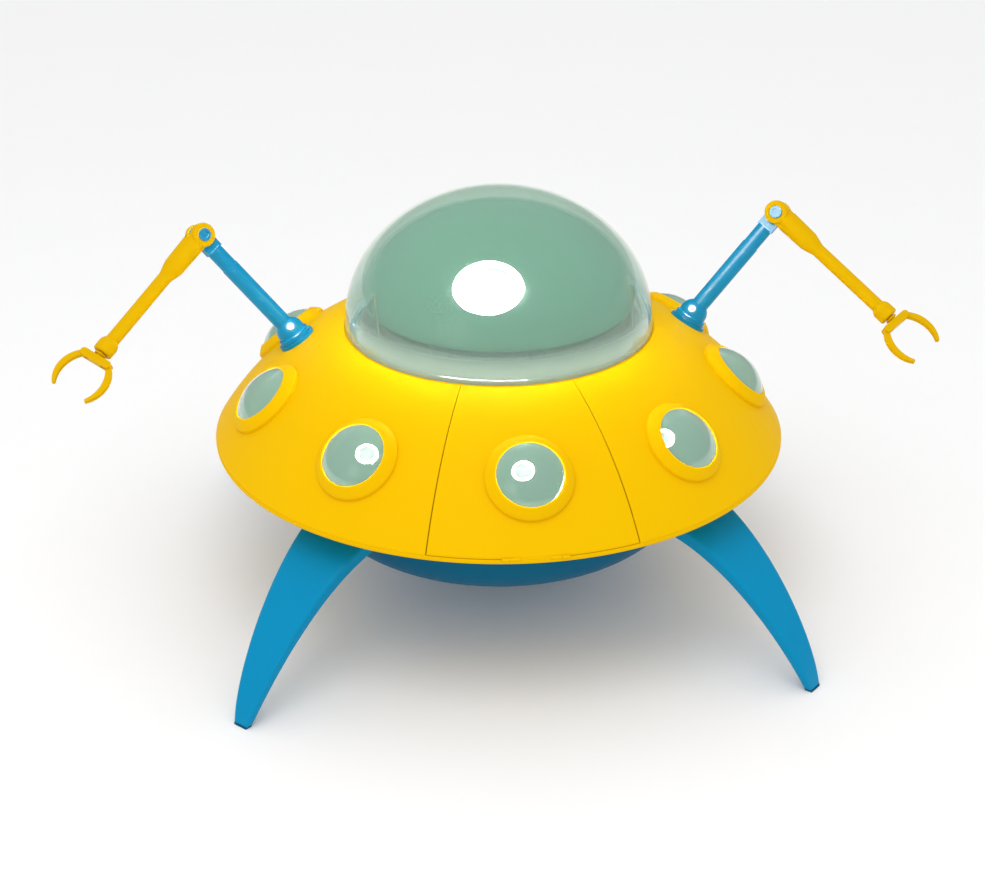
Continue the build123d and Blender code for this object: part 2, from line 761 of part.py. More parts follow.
def gear_outline(teeth):
    """Closed outline of an involute spur gear."""
    pitch = gear_module * teeth / 2
    base = pitch * math.cos(math.radians(pressure_angle))
    tip = pitch + gear_module * 0.95
    root = pitch - gear_module * 1.25
    pitch_roll = math.tan(math.radians(pressure_angle))
    flank_at_pitch = involute(base, pitch_roll)[1]
    half_tooth = math.pi / (2 * teeth) - backlash / (2 * pitch)
    start = max(base, root + 0.3)
    start_roll = math.sqrt(max((start / base) ** 2 - 1, 0))
    tip_roll = math.sqrt((tip / base) ** 2 - 1)
    edges = []
    for tooth in range(teeth):
        middle = 2 * math.pi * tooth / teeth
        following = middle + 2 * math.pi / teeth
        left, right = [], []
        for roll in (start_roll, (start_roll + tip_roll) / 2, tip_roll):
            reach, turn = involute(base, roll)
            offset = half_tooth - (turn - flank_at_pitch)
            left.append((reach * math.cos(middle - offset), reach * math.sin(middle - offset)))
            right.append((reach * math.cos(middle + offset), reach * math.sin(middle + offset)))
        root_half = half_tooth + flank_at_pitch - involute(base, start_roll)[1]
        root_in = (root * math.cos(middle - root_half), root * math.sin(middle - root_half))
        root_out = (root * math.cos(middle + root_half), root * math.sin(middle + root_half))
        root_next = (root * math.cos(following - root_half), root * math.sin(following - root_half))
        valley = middle + math.pi / teeth
        edges.append(Line(root_in, left[0]))
        edges.append(ThreePointArc(*left))
        edges.append(ThreePointArc(left[2], (tip * math.cos(middle), tip * math.sin(middle)), right[2]))
        edges.append(ThreePointArc(*reversed(right)))
        edges.append(Line(right[0], root_out))
        edges.append(ThreePointArc(root_out, (root * math.cos(valley), root * math.sin(valley)), root_next))
    return make_face(edges)


def slewing_gear():
    """Outer ring of the slewing bearing, toothed outside."""
    ring = Pos(0, 0, gear_bottom) * extrude(gear_outline(ring_teeth), gear_height)
    return ring - tube(race_radius + race_gap, 0, gear_bottom - 1, gear_top + 1)


def drive_pinion():
    """Pinion and its shaft, with a tooth space turned to the slewing gear."""
    toward = -90 + (ring_teeth / 4 % 1 + 0.5) * 360 / pinion_teeth
    gear = Pos(0, 0, gear_bottom) * extrude(gear_outline(pinion_teeth), gear_height - 1)
    gear += tube(shaft_radius, 0, hub_top - hub_thickness - 18, gear_bottom)
    return Pos(0, pinion_distance, 0) * Rot(0, 0, toward) * gear


def gearbox():
    top = hub_top - hub_thickness
    case = block(gearbox_size, gearbox_size, top - gearbox_height, top)
    case = fillet(case.edges().filter_by(Axis.Z), 12)
    case -= tube(shaft_radius + pin_fit, 0, top - 20, top + 1)
    return Pos(0, pinion_distance, 0) * case


def drive_motor():
    top = hub_top - hub_thickness - gearbox_height
    motor = tube(motor_radius, 0, top - motor_length, top)
    motor += tube(motor_radius + 4, 0, top - 8, top)
    return Pos(0, pinion_distance, 0) * motor


def slip_ring_housing():
    housing = tube(slip_radius, 0, hub_top - slip_depth, hub_top + slip_flange)
    return housing + tube(slip_radius + 14, 0, hub_top, hub_top + slip_flange)


def slip_ring_rotor():
    return tube(slip_rotor_radius, wire_radius / 2, hub_top + slip_flange + race_gap, gear_top)


def turntable():
    return tube(turntable_radius, wire_radius, gear_top, turntable_top)


def power_inlet():
    """Cable gland in the back of the belly pan."""
    gland = Pos(0, 0, inlet_height) * Rot(90, 0, 0)
    body = gland * Cylinder(inlet_radius - 3 - pin_fit, 2 * inlet_length)
    nut = gland * extrude(RegularPolygon(inlet_radius, 6), inlet_length / 2, both=True)
    return Pos(0, inlet_wall_radius(), 0) * (body + Pos(0, inlet_length / 2, 0) * nut) - belly_pan()


def inlet_wall_radius():
    """Radius of the pan's outer face at the inlet's height."""
    drop = (pan_bottom + pan_corner_height - inlet_height) / pan_corner_height
    return pan_flat_radius + (pan_radius - pan_flat_radius) * math.sqrt(1 - drop * drop)


# ---------- cockpit ----------
def tub_outline(inset):
    """Half outline of the tub's wall, from its floor to its top, moved in by an inset."""
    lift = cradle_top + inset
    neck = deck_height - coaming_height
    return [(0, lift), (tub_floor_radius - inset, lift), (tub_radius - inset, neck)]


def cockpit_tub():
    outside = tub_outline(0)
    inside = tub_outline(tub_wall)
    flange = coaming_inner + tub_flange_width
    top = deck_height + tub_flange_height
    return spun(Polyline(*outside, (tub_radius, deck_height), (flange, deck_height), (flange, top),
                         (tub_radius - tub_wall, top), *reversed(inside), outside[0]))


def tub_cavity(gap):
    """Space inside the tub, kept off its wall by a gap but down to its floor."""
    inside = tub_outline(tub_wall + gap)
    inside[0] = (0, tub_floor)
    inside[1] = (inside[1][0], tub_floor)
    top = deck_height + tub_flange_height
    return spun(Polyline(*inside, (inside[2][0], top), (0, top), inside[0]))


def seat_cushion():
    cushion = block(seat_width, seat_depth, tub_floor, tub_floor + seat_height, 0, seat_front + seat_depth / 2)
    return cushion & tub_cavity(seat_gap)


def seat_back():
    front = seat_front + seat_depth - seat_back_thickness
    bottom = tub_floor + seat_height
    back = block(seat_width, tub_radius, bottom, bottom + seat_back_height, 0, front + tub_radius / 2)
    return back & tub_cavity(seat_gap)


def tub_reach(height):
    """Inner radius of the tub's sloping wall at a height."""
    low, neck = cradle_top + tub_wall, deck_height - coaming_height
    share = (height - low) / (neck - low)
    return tub_floor_radius + (tub_radius - tub_floor_radius) * share - tub_wall


console_height = tub_floor + console_top
gimbal_z = console_height - 0.75 * gimbal_radius
socket_reach = tub_reach(console_height - socket_depth) - control_set_in
trunnion_reach = tub_reach(gimbal_z - trunnion_radius) - gimbal_radius - trunnion_bite - trunnion_room
control_y = -min(socket_reach, trunnion_reach)
console_back = -control_y - console_depth * 0.3


def control_console():
    """Dashboard fixed to the front of the tub, with the joystick's socket and the button's hole."""
    console = block(console_width, tub_radius, tub_floor, console_height, 0, -(console_back + tub_radius / 2))
    console = console & tub_cavity(0)
    console -= Pos(0, control_y, 0) * tube(gimbal_radius + gimbal_gap, 0, console_height - socket_depth,
                                            console_height + 1)
    console -= Pos(0, control_y, gimbal_z) * Rot(90, 0, 0) * Cylinder(
        trunnion_radius + pin_fit, 2 * (gimbal_radius + trunnion_bite + 1))
    button_bottom = console_height - button_height - button_travel
    console -= Pos(button_offset, control_y, 0) * tube(button_radius + button_gap, 0, button_bottom,
                                                        console_height + 1)
    return console


def joystick_gimbal():
    """Truncated ball on two trunnions along Y, slotted for the stick."""
    ball = Sphere(gimbal_radius) & Box(3 * gimbal_radius, 3 * gimbal_radius, gimbal_height)
    ball += Rot(90, 0, 0) * Cylinder(trunnion_radius, 2 * (gimbal_radius + trunnion_bite))
    ball -= Box(2 * (stick_radius + button_gap), 2 * gimbal_slot, 2 * gimbal_radius)
    ball -= Rot(0, 90, 0) * Cylinder(trunnion_radius + pin_fit, 3 * gimbal_radius)
    return Pos(0, control_y, gimbal_z) * ball


def joystick():
    """Stick with a ball knob, on a cross pin held by the gimbal."""
    stick = tube(stick_radius, 0, -stick_radius * 0.75, stick_length)
    stick += Pos(0, 0, stick_length) * Sphere(stick_ball_radius)
    stick += Rot(0, 90, 0) * Cylinder(trunnion_radius, 2 * gimbal_radius - 4)
    return Pos(0, control_y, gimbal_z) * stick


def start_button():
    bottom = console_height - button_height * 0.6
    button = tube(button_radius, 0, bottom, bottom + button_height)
    top = button.edges().filter_by(GeomType.CIRCLE).sort_by(Axis.Z)[-1]
    return Pos(button_offset, control_y, 0) * fillet(top, 2)


def control_box():
    """Electronics case that the front hatch gives access to."""
    case = block(box_width, box_depth, under_top, under_top + box_height, 0, -box_middle)
    return fillet(case.edges().filter_by(Axis.Z), 8)


# ---------- arms ----------
shoulder_plane = seat_plane(shoulder_azimuth, shoulder_seat_radius)
shoulder_centre = shoulder_plane.origin + shoulder_plane.z_dir * shoulder_ball_rise
upper_run = direction(upper_arm_azimuth, upper_arm_elevation)
forearm_run = direction(forearm_azimuth, forearm_elevation)
elbow_axis = upper_run.cross(forearm_run).normalized()
elbow_centre = shoulder_centre + upper_run * upper_arm_length
upper_plane = Plane(shoulder_centre, x_dir=elbow_axis, z_dir=upper_run)
forearm_plane = Plane(elbow_centre, x_dir=elbow_axis, z_dir=forearm_run)
palm_centre = elbow_centre + forearm_run * forearm_length
roll = math.radians(claw_roll)
claw_across = elbow_axis * math.cos(roll) + forearm_run.cross(elbow_axis) * math.sin(roll)
claw_plane = Plane(palm_centre, x_dir=claw_across, z_dir=forearm_run)
ball_room = Pos(0, 0, shoulder_ball_rise) * Sphere(shoulder_ball_radius + ball_gap)


def shoulder_flange():
    """Fixed disc on the shell under the shoulder ball."""
    flange = tube(shoulder_flange_radius, 0, -2 * shoulder_flange_height, shoulder_flange_height)
    return shoulder_plane * (flange - ball_room) - full_envelope


def shoulder_cup():
    """Turning collar that holds the ball."""
    bottom = shoulder_flange_height + ball_gap
    cup = tube(shoulder_cup_radius, 0, bottom, bottom + shoulder_cup_height)
    rim = cup.edges().filter_by(GeomType.CIRCLE).group_by(Axis.Z)[-1]
    cup = fillet(rim, 2)
    return shoulder_plane * (cup - ball_room)


def across(radius, length, z=0.0, x=0.0):
    """Cylinder along the local X axis."""
    return Pos(x, 0, z) * Rot(0, 90, 0) * Cylinder(radius, length)


def upper_arm():
    """Shoulder ball, tube, slimmer neck and the elbow's flat tongue in one moulding."""
    shoulder_end = upper_arm_length - tongue_length
    neck_start = shoulder_end - upper_arm_neck_length
    arm = Sphere(shoulder_ball_radius)
    arm += tube(upper_arm_radius, 0, 0, neck_start)
    arm += tube(upper_arm_neck_radius, 0, neck_start, shoulder_end)
    arm += block(tongue_width, 2 * tongue_radius - 8, shoulder_end - 4, upper_arm_length)
    arm += across(tongue_radius, tongue_width, upper_arm_length)
    arm -= across(elbow_pin_radius + pin_fit, 2 * tongue_width, upper_arm_length)
    return upper_plane * arm


def elbow_pin():
    """Shouldered pin with a wide head, recessed in its middle, on the front side and a smaller far head."""
    pin = across(elbow_pin_radius, 2 * clevis_half)
    head = across(elbow_head_radius, elbow_head_height, 0, -clevis_half - elbow_head_height / 2)
    head = chamfer(head.edges().filter_by(GeomType.CIRCLE).sort_by(Axis.X)[0], elbow_head_height / 3)
    head -= across(elbow_head_radius * 0.6, elbow_head_height, 0, -clevis_half - elbow_head_height)
    far = across(elbow_head_radius * 0.8, elbow_head_height * 0.7, 0, clevis_half + elbow_head_height * 0.35)
    return forearm_plane * (pin + head + far)


def forearm():
    """Forked elbow end, tube and flared wrist socket."""
    step_end = clevis_length + clevis_shoulder
    flare_end = socket_start + socket_flare
    arm = spun(
        Polyline((0, -elbow_ear_radius / 2), (clevis_half, -elbow_ear_radius / 2), (clevis_half, 0),
                 (clevis_end_radius, clevis_length)),
        ThreePointArc((clevis_end_radius, clevis_length),
                      (clevis_end_radius - 2.5, clevis_length + clevis_shoulder * 0.3),
                      (forearm_radius + 2.5, clevis_length + clevis_shoulder * 0.7)),
        Polyline((forearm_radius + 2.5, clevis_length + clevis_shoulder * 0.7), (forearm_radius, step_end),
                 (forearm_radius, socket_start)),
        ThreePointArc((forearm_radius, socket_start), (forearm_radius + 5.5, socket_start + socket_flare * 0.4),
                      (socket_radius, flare_end)),
        Polyline((socket_radius, flare_end), (socket_radius, socket_end), (0, socket_end),
                 (0, -elbow_ear_radius / 2)),
    )
    lip = arm.edges().filter_by(GeomType.CIRCLE).sort_by(Axis.Z)[-1]
    arm = fillet(lip, 5)
    arm -= block(4 * elbow_ear_radius, 4 * elbow_ear_radius, -elbow_ear_radius, 0)
    head = across(elbow_ear_radius, 2 * clevis_half)
    arm += fillet(head.edges().filter_by(GeomType.CIRCLE), 5)
    arm -= block(tongue_width + 2 * elbow_slot_gap, 4 * elbow_ear_radius, -2 * elbow_ear_radius,
                 tongue_radius + elbow_slot_room)
    arm -= across(elbow_pin_radius + pin_fit, 3 * clevis_half)
    arm -= tube(neck_radius + neck_fit, 0, socket_end - neck_bore_depth, socket_end + 1)
    return forearm_plane * arm


def claw_palm():
    """Wrist neck with its disc, and the forked crossbar that carries both fingers."""
    half = claw_thickness / 2 + claw_gap
    outside = half + claw_cheek
    bottom = socket_end - neck_bore_depth + 1 - forearm_length
    palm = tube(neck_radius, 0, bottom, claw_pin_drop)
    disc_middle = (socket_end - forearm_length + claw_pin_drop - claw_eye_radius) / 2
    palm += Pos(0, 0, disc_middle) * Cylinder(neck_disc_radius, neck_disc_width)
    palm += Pos(0, 0, claw_pin_drop) * Box(2 * claw_pin_spread, 2 * outside, 2 * claw_eye_radius)
    for side in (-1, 1):
        palm += Pos(side * claw_pin_spread, 0, claw_pin_drop) * Rot(90, 0, 0) * Cylinder(
            claw_eye_radius, 2 * outside)
        palm -= Pos(side * (claw_web + claw_pin_spread), 0, claw_pin_drop) * Box(
            2 * claw_pin_spread, 2 * half, 4 * claw_eye_radius)
        palm += Pos(side * claw_pin_spread, 0, claw_pin_drop) * Rot(90, 0, 0) * Cylinder(
            claw_pin_radius, 2 * outside)
    return claw_plane * palm


def claw_point(angle, reach):
    """Point on the grip's circle, from the palm round towards +X, in the claw's own plane."""
    turn = math.radians(angle)
    return (reach * math.sin(turn), claw_centre - reach * math.cos(turn))


def claw_finger(side):
    """Crescent finger that swings on its pin; side -1 is the mirror image of side 1."""
    root_angle = math.degrees(math.asin(claw_pin_spread / (claw_radius - claw_root_width / 2)))
    mid_angle = (root_angle + claw_tip_angle) / 2
    outline = [
        ThreePointArc(claw_point(root_angle, claw_radius), claw_point(mid_angle, claw_radius),
                      claw_point(claw_tip_angle, claw_radius)),
        Line(claw_point(claw_tip_angle, claw_radius), claw_point(claw_tip_angle, claw_radius - claw_tip_width)),
        ThreePointArc(claw_point(claw_tip_angle, claw_radius - claw_tip_width),
                      claw_point(mid_angle, claw_radius - claw_mid_width),
                      claw_point(root_angle, claw_radius - claw_root_width)),
        Line(claw_point(root_angle, claw_radius - claw_root_width), claw_point(root_angle, claw_radius)),
    ]
    finger = extrude(Plane.XZ * make_face(outline), claw_thickness / 2, both=True)
    eye = Pos(claw_pin_spread, 0, claw_pin_drop) * Rot(90, 0, 0) * Cylinder(claw_eye_radius - 1, claw_thickness)
    hole = Pos(claw_pin_spread, 0, claw_pin_drop) * Rot(90, 0, 0) * Cylinder(
        claw_pin_radius + claw_pin_fit, 2 * claw_thickness)
    finger = finger + eye - hole
    if side < 0:
        finger = mirrored(finger)
    return claw_plane * finger


# ---------- nodes ----------
nodes = {
    "belly_pan": belly_pan(),
    "hub_plate": hub_plate(),
    "foot_pads": group([foot_pad(azimuth) for azimuth in leg_azimuths.values()]),
    "leg_bolts": group([leg_bolt(azimuth, x, y) for azimuth in leg_azimuths.values()
                        for x, y in leg_bolt_places()]),
    "bearing_race": bearing_race(),
    "gearbox": gearbox(),
    "drive_motor": drive_motor(),
    "slip_ring_housing": slip_ring_housing(),
    "power_inlet": power_inlet(),
    "drive_pinion": drive_pinion(),
    "slewing_gear": slewing_gear(),
    "turntable": turntable(),
    "slip_ring_rotor": slip_ring_rotor(),
    "under_shell": under_shell(),
    "rim_band": rim_band(),
    "upper_shell": upper_shell(),
    "coaming_ring": coaming_ring(),
    "canopy_seal": canopy_seal(),
    "cockpit_tub": cockpit_tub(),
    "seat_cushion": seat_cushion(),
    "seat_back": seat_back(),
    "control_console": control_console(),
    "control_box": control_box(),
    "shoulder_flanges": group([shoulder_flange(), mirrored(shoulder_flange())]),
    "porthole_bezels": group([porthole_bezel(azimuth) for azimuth in porthole_azimuths]),
    "porthole_lenses": group([porthole_lens(azimuth) for azimuth in porthole_azimuths]),
    "lamp_cups": group([lamp_cup(azimuth) for azimuth in porthole_azimuths]),
    "hatch_hinge_pin": hatch_hinge_pin(),
    "service_hatch": service_hatch(),
    "hatch_bezel": porthole_bezel(0),
    "hatch_lens": porthole_lens(0),
    "hatch_lamp_cup": lamp_cup(0),
    "canopy_hinge_leaves": group([canopy_fixed_leaf(side) for side in (-1, 1)]),
    "canopy_hinge_pins": group([canopy_pin(side) for side in (-1, 1)]),
    "canopy_shell": canopy_shell(),
    "canopy_liner": canopy_liner(),
    "canopy_ring": canopy_ring(),
    "canopy_stays": group([canopy_stay(side) for side in (-1, 1)]),
    "canopy_hinge_ears": group([canopy_ear_pair(side) for side in (-1, 1)]),
    "joystick_gimbal": joystick_gimbal(),
    "joystick": joystick(),
    "start_button": start_button(),
}
for place, azimuth in leg_azimuths.items():
    nodes["leg_" + place] = leg(azimuth)
arm_pieces = {
    "shoulder_cup": shoulder_cup(),
    "upper_arm": upper_arm(),
    "elbow_pin": elbow_pin(),
    "forearm": forearm(),
    "claw_palm": claw_palm(),
    "claw_finger_upper": claw_finger(1),
    "claw_finger_lower": claw_finger(-1),
}
for name, piece in arm_pieces.items():
    nodes[name + "_right"] = piece
    nodes[name + "_left"] = mirrored(piece)

for name, piece in nodes.items():
    export_step(piece, "parts/" + name + ".step")
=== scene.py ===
import bmesh
import bpy
import json
import math
import numpy as np
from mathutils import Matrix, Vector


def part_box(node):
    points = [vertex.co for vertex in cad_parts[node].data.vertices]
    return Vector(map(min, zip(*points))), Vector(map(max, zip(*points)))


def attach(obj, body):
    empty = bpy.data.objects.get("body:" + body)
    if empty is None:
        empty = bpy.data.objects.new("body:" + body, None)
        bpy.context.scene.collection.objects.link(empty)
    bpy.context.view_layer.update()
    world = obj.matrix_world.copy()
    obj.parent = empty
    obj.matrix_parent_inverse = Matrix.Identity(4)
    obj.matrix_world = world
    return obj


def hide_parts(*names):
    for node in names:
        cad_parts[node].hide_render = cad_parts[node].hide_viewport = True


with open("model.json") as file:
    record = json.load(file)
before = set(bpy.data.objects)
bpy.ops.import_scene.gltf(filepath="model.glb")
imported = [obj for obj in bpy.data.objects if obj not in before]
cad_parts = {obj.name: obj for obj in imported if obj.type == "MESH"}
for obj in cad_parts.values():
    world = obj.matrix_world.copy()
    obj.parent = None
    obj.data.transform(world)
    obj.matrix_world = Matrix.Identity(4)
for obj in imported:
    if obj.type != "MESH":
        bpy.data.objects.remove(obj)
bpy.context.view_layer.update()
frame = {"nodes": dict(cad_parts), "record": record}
cad = frame["nodes"]
print("frame loaded:", len(cad), "nodes")


# where the camera and the lights stand, how strong they are, and what the floor looks like
studio = {
    "eye": (-0.5505, -4.6370, 2.7019),
    "aim": (-0.016, 0.002, 0.395),
    "lens": 70.85,
    "sensor": 36.0,
    "floorTint": (0.93, 0.93, 0.935, 1.0),
    "floorDeepTint": (0.915, 0.915, 0.92, 1.0),
    "floorHalf": 30.0,
    "floorRough": 0.75,
    "floorSpecular": 0.15,
    "skyTint": (1.0, 1.0, 1.0, 1.0),
    "skyStrength": 1.0,
    "softboxPlace": (-0.72, -1.95, 4.3),
    "softboxAim": (0, 0, 0.5),
    "softboxSize": 2.7,
    "softboxPower": 40.0,
    "sheenPlace": (-0.72, -1.95, 4.3),
    "sheenAim": (0, 0, 0.5),
    "sheenSize": 3.4,
    "sheenPower": 12000.0,
    "fillPlace": (-3.6, -4.2, 2.6),
    "fillAim": (0, 0, 0.4),
    "fillSize": 2.6,
    "fillPower": 8.0,
}


def pointAt(thing, target):
    # heading and tilt of the line to the target, as arc tangents of its sides
    look = np.array(target) - np.array(thing.location)
    heading = math.atan2(look[0], look[1])
    tilt = math.atan2(look[2], math.hypot(look[0], look[1]))
    thing.rotation_euler = (math.pi / 2 + tilt, 0, -heading)


def addLight(name, part):
    # a round lamp; its place, aim, size and power are the studio's values that start with part
    lamp = bpy.data.lights.new(name, "AREA")
    lamp.shape, lamp.size, lamp.energy = "DISK", studio[part + "Size"], studio[part + "Power"]
    thing = bpy.data.objects.new(name, lamp)
    bpy.context.scene.collection.objects.link(thing)
    thing.location = studio[part + "Place"]
    pointAt(thing, studio[part + "Aim"])
    return thing


scene = bpy.context.scene
view = bpy.data.cameras.new("showCamera")
view.lens, view.sensor_width = studio["lens"], studio["sensor"]
viewer = bpy.data.objects.new("showCamera", view)
scene.collection.objects.link(viewer)
viewer.location = studio["eye"]
pointAt(viewer, studio["aim"])
scene.camera = viewer
scene.view_settings.view_transform = "Standard"
scene.view_settings.look = "None"

addLight("softbox", "softbox")
sheen = addLight("softboxSheen", "sheen")
sheen.visible_diffuse = False
glossyGroup = bpy.data.collections.new("glossyPieces")     # only the domes and the blue arms take this reflection
sheen.light_linking.receiver_collection = glossyGroup
addLight("fill", "fill")

sky = bpy.data.worlds.new("studioSky")
scene.world = sky
sky.use_nodes = True
sky.cycles_visibility.glossy = False
sky.node_tree.nodes["Background"].inputs["Color"].default_value = studio["skyTint"]
sky.node_tree.nodes["Background"].inputs["Strength"].default_value = studio["skyStrength"]


class Wire:
    # one output socket; + - * and ** on it add Math nodes
    def __init__(self, tree, socket=None):
        self.tree, self.socket = tree, socket

    def node(self, kind, settings=None, inputs=None, output=0):
        # any node: its settings first, then the value or link of each socket
        made = self.tree.nodes.new(kind)
        for key, value in (settings or {}).items():
            setattr(made, key, value)
        for key, value in (inputs or {}).items():
            if isinstance(value, Wire):
                self.tree.links.new(value.socket, made.inputs[key])
            else:
                made.inputs[key].default_value = value
        return Wire(self.tree, made.outputs[output])

    def maths(self, operation, a, b):
        return self.node("ShaderNodeMath", {"operation": operation}, {0: a, 1: b})

    def __add__(self, other):
        return self.maths("ADD", self, other)

    def __radd__(self, other):
        return self.maths("ADD", other, self)

    def __sub__(self, other):
        return self.maths("SUBTRACT", self, other)

    def __rsub__(self, other):
        return self.maths("SUBTRACT", other, self)

    def __mul__(self, other):
        return self.maths("MULTIPLY", self, other)

    def __rmul__(self, other):
        return self.maths("MULTIPLY", other, self)

    def __pow__(self, other):
        return self.maths("POWER", self, other)

    def __rpow__(self, other):
        return self.maths("POWER", other, self)

    def over(self, limit, soft=0.08):
        # smooth step from 0 at a limit to 1 a little above it
        return self.node("ShaderNodeMapRange", {"interpolation_type": "SMOOTHSTEP"},
                         {"Value": self, "From Min": limit, "From Max": limit + soft})

    def between(self, low, high):
        # carries 0..1 to low..high
        return self.node("ShaderNodeMapRange", {}, {"Value": self, "To Min": low, "To Max": high})


def startMaterial(name):
    # a material with one Principled shader; gives the material, its shader, a wire and Object coordinates
    material = bpy.data.materials.new(name)
    material.use_nodes = True
    tree = material.node_tree
    shader = tree.nodes["Principled BSDF"]
    wire = Wire(tree)
    place = wire.node("ShaderNodeTexCoord", {}, {}, "Object")
    return material, shader, wire, place


def noise(wire, place, scale, detail=3.0, rough=0.55):
    # fractal noise, 0..1
    values = {"Vector": place, "Scale": scale, "Detail": detail, "Roughness": rough}
    return wire.node("ShaderNodeTexNoise", {}, values, "Fac")


def stretched(wire, place, scale, turn=(0.0, 0.0, 0.0)):
    # coordinates drawn out and turned, so that noise on them runs in streaks
    return wire.node("ShaderNodeMapping", {}, {"Vector": place, "Scale": scale, "Rotation": turn})


def bumped(wire, height, strength, distance):
    # a height turned into a leaning normal
    return wire.node("ShaderNodeBump", {}, {"Strength": strength, "Distance": distance, "Height": height})


def blendTint(wire, share, first, second):
    # first colour at share 0, second at share 1
    return wire.node("ShaderNodeMix", {"data_type": "RGBA"}, {0: share, 6: first, 7: second}, 2)


def join(wire, value, shader, socket):
    # an expression into one of the shader's sockets
    wire.tree.links.new(value.socket, shader.inputs[socket])


def tint(r, g, b):
    # opaque colour, linear
    return (r, g, b, 1.0)


moulded = {"fleckScale": 340.0, "fleckOver": 0.72, "streakScale": (9.0, 60.0, 14.0), "streakTurn": (0.3, 0.5, 0.7),
           "rubScale": 3.0, "rubOver": 0.55, "glossScale": 6.0, "glossDown": 0.03, "glossUp": 0.05, "waveScale": 11.0,
           "waveShare": 2.2, "peelDepth": 0.0006}


def mouldedFinish(name, look):
    # gel-coated moulding: the tint drifts with a slow noise, a fine noise lifts an orange peel,
    # and long thin noise streaks dull the gloss where hands and cloths have rubbed it
    material, shader, wire, place = startMaterial(name)
    drift = noise(wire, place, look["driftScale"], 2.0)
    body = blendTint(wire, drift, look["tint"], look["deepTint"])
    fleck = noise(wire, place, moulded["fleckScale"], 2.0).over(moulded["fleckOver"]) * look["fleck"]
    join(wire, blendTint(wire, fleck, body, look["fleckTint"]), shader, "Base Color")
    streaks = stretched(wire, place, moulded["streakScale"], moulded["streakTurn"])
    rubbed = noise(wire, streaks, moulded["rubScale"], 5.0, 0.7).over(moulded["rubOver"])
    gloss = noise(wire, place, moulded["glossScale"], 4.0)
    gloss = gloss.between(look["rough"] - moulded["glossDown"], look["rough"] + moulded["glossUp"])
    join(wire, gloss + rubbed * look["rub"], shader, "Roughness")
    peel = noise(wire, place, look["peelScale"], 2.0, 0.5)
    wave = noise(wire, place, moulded["waveScale"], 1.0)
    join(wire, bumped(wire, peel + wave * moulded["waveShare"], look["peel"], moulded["peelDepth"]), shader, "Normal")
    shader.inputs["Coat Weight"].default_value = look["coat"]
    shader.inputs["Coat Roughness"].default_value = look["coatRough"]
    shader.inputs["Specular IOR Level"].default_value = look["specular"]
    return material


acrylic = {"cloudScale": 5.0, "hazeScale": 60.0, "hazeOver": 0.62, "hazeRough": 0.05, "hairScale": (4.0, 90.0, 30.0),
           "hairTurn": (0.9, 0.2, 1.1), "hairNoise": 6.0, "hairOver": 0.70, "waveScale": 7.0, "lift": 0.05,
           "liftDepth": 0.0003, "coatRough": 0.03, "paintedRimBlend": 0.5, "edgeBlend": 0.35, "edgeShare": 2.2,
           "footClear": 0.075, "footFull": 0.012}


def clearFinish(name, look):
    # acrylic: a see-through tinted part and a glossy body, shared by how square the face stands to the eye; the body's
    # colour turns to a lighter tint towards grazing edges, a painted rim reflection
    material, shader, wire, place = startMaterial(name)
    tree = wire.tree
    cloud = noise(wire, place, acrylic["cloudScale"], 3.0)
    body = blendTint(wire, cloud, look["tint"], look["deepTint"])
    # painted reflection: the body colour is lightened where the face turns away from the eye, standing in for a
    # reflection along the rims
    paintedRimShare = wire.node("ShaderNodeLayerWeight", {}, {"Blend": acrylic["paintedRimBlend"]}, "Facing") ** look["paintedRimPower"]
    join(wire, blendTint(wire, paintedRimShare, body, look["paintedRimTint"]), shader, "Base Color")
    haze = noise(wire, place, acrylic["hazeScale"], 4.0, 0.6).over(acrylic["hazeOver"])
    join(wire, haze * acrylic["hazeRough"] + look["rough"], shader, "Roughness")
    hair = stretched(wire, place, acrylic["hairScale"], acrylic["hairTurn"])
    scratch = noise(wire, hair, acrylic["hairNoise"], 2.0).over(acrylic["hairOver"])
    wave = noise(wire, place, acrylic["waveScale"], 1.0)
    join(wire, bumped(wire, scratch + wave, acrylic["lift"], acrylic["liftDepth"]), shader, "Normal")
    shader.inputs["Specular IOR Level"].default_value = look["specular"]
    shader.inputs["Coat Weight"].default_value = look["coat"]
    shader.inputs["Coat Roughness"].default_value = acrylic["coatRough"]
    clear = wire.node("ShaderNodeBsdfTransparent", {}, {"Color": look["through"]})
    facing = wire.node("ShaderNodeLayerWeight", {}, {"Blend": acrylic["edgeBlend"]}, "Facing")
    share = facing ** acrylic["edgeShare"] * (look["edge"] - look["solid"]) + look["solid"]
    if "footHeight" in look:
        # the moulded foot is cloudier: more solid the nearer to its lower edge
        height = wire.node("ShaderNodeSeparateXYZ", {}, {"Vector": place}, "Z")
        low = wire.node("ShaderNodeMapRange", {"interpolation_type": "SMOOTHSTEP"},
                        {"Value": height, "From Min": look["footHeight"] + acrylic["footClear"],
                         "From Max": look["footHeight"] + acrylic["footFull"]})
        share = share + (1 - share) * low * look["footSolid"]
    both = wire.node("ShaderNodeMixShader", {}, {0: share, 1: clear, 2: Wire(tree, shader.outputs["BSDF"])})
    tree.links.new(both.socket, tree.nodes["Material Output"].inputs["Surface"])
    return material


metal = {"grainNoise": 40.0, "blotchScale": 24.0, "glossDown": 0.08, "glossUp": 0.14, "speckScale": 130.0,
         "speckOver": 0.75, "speckDull": -0.35, "lift": 0.25, "liftDepth": 0.0002}


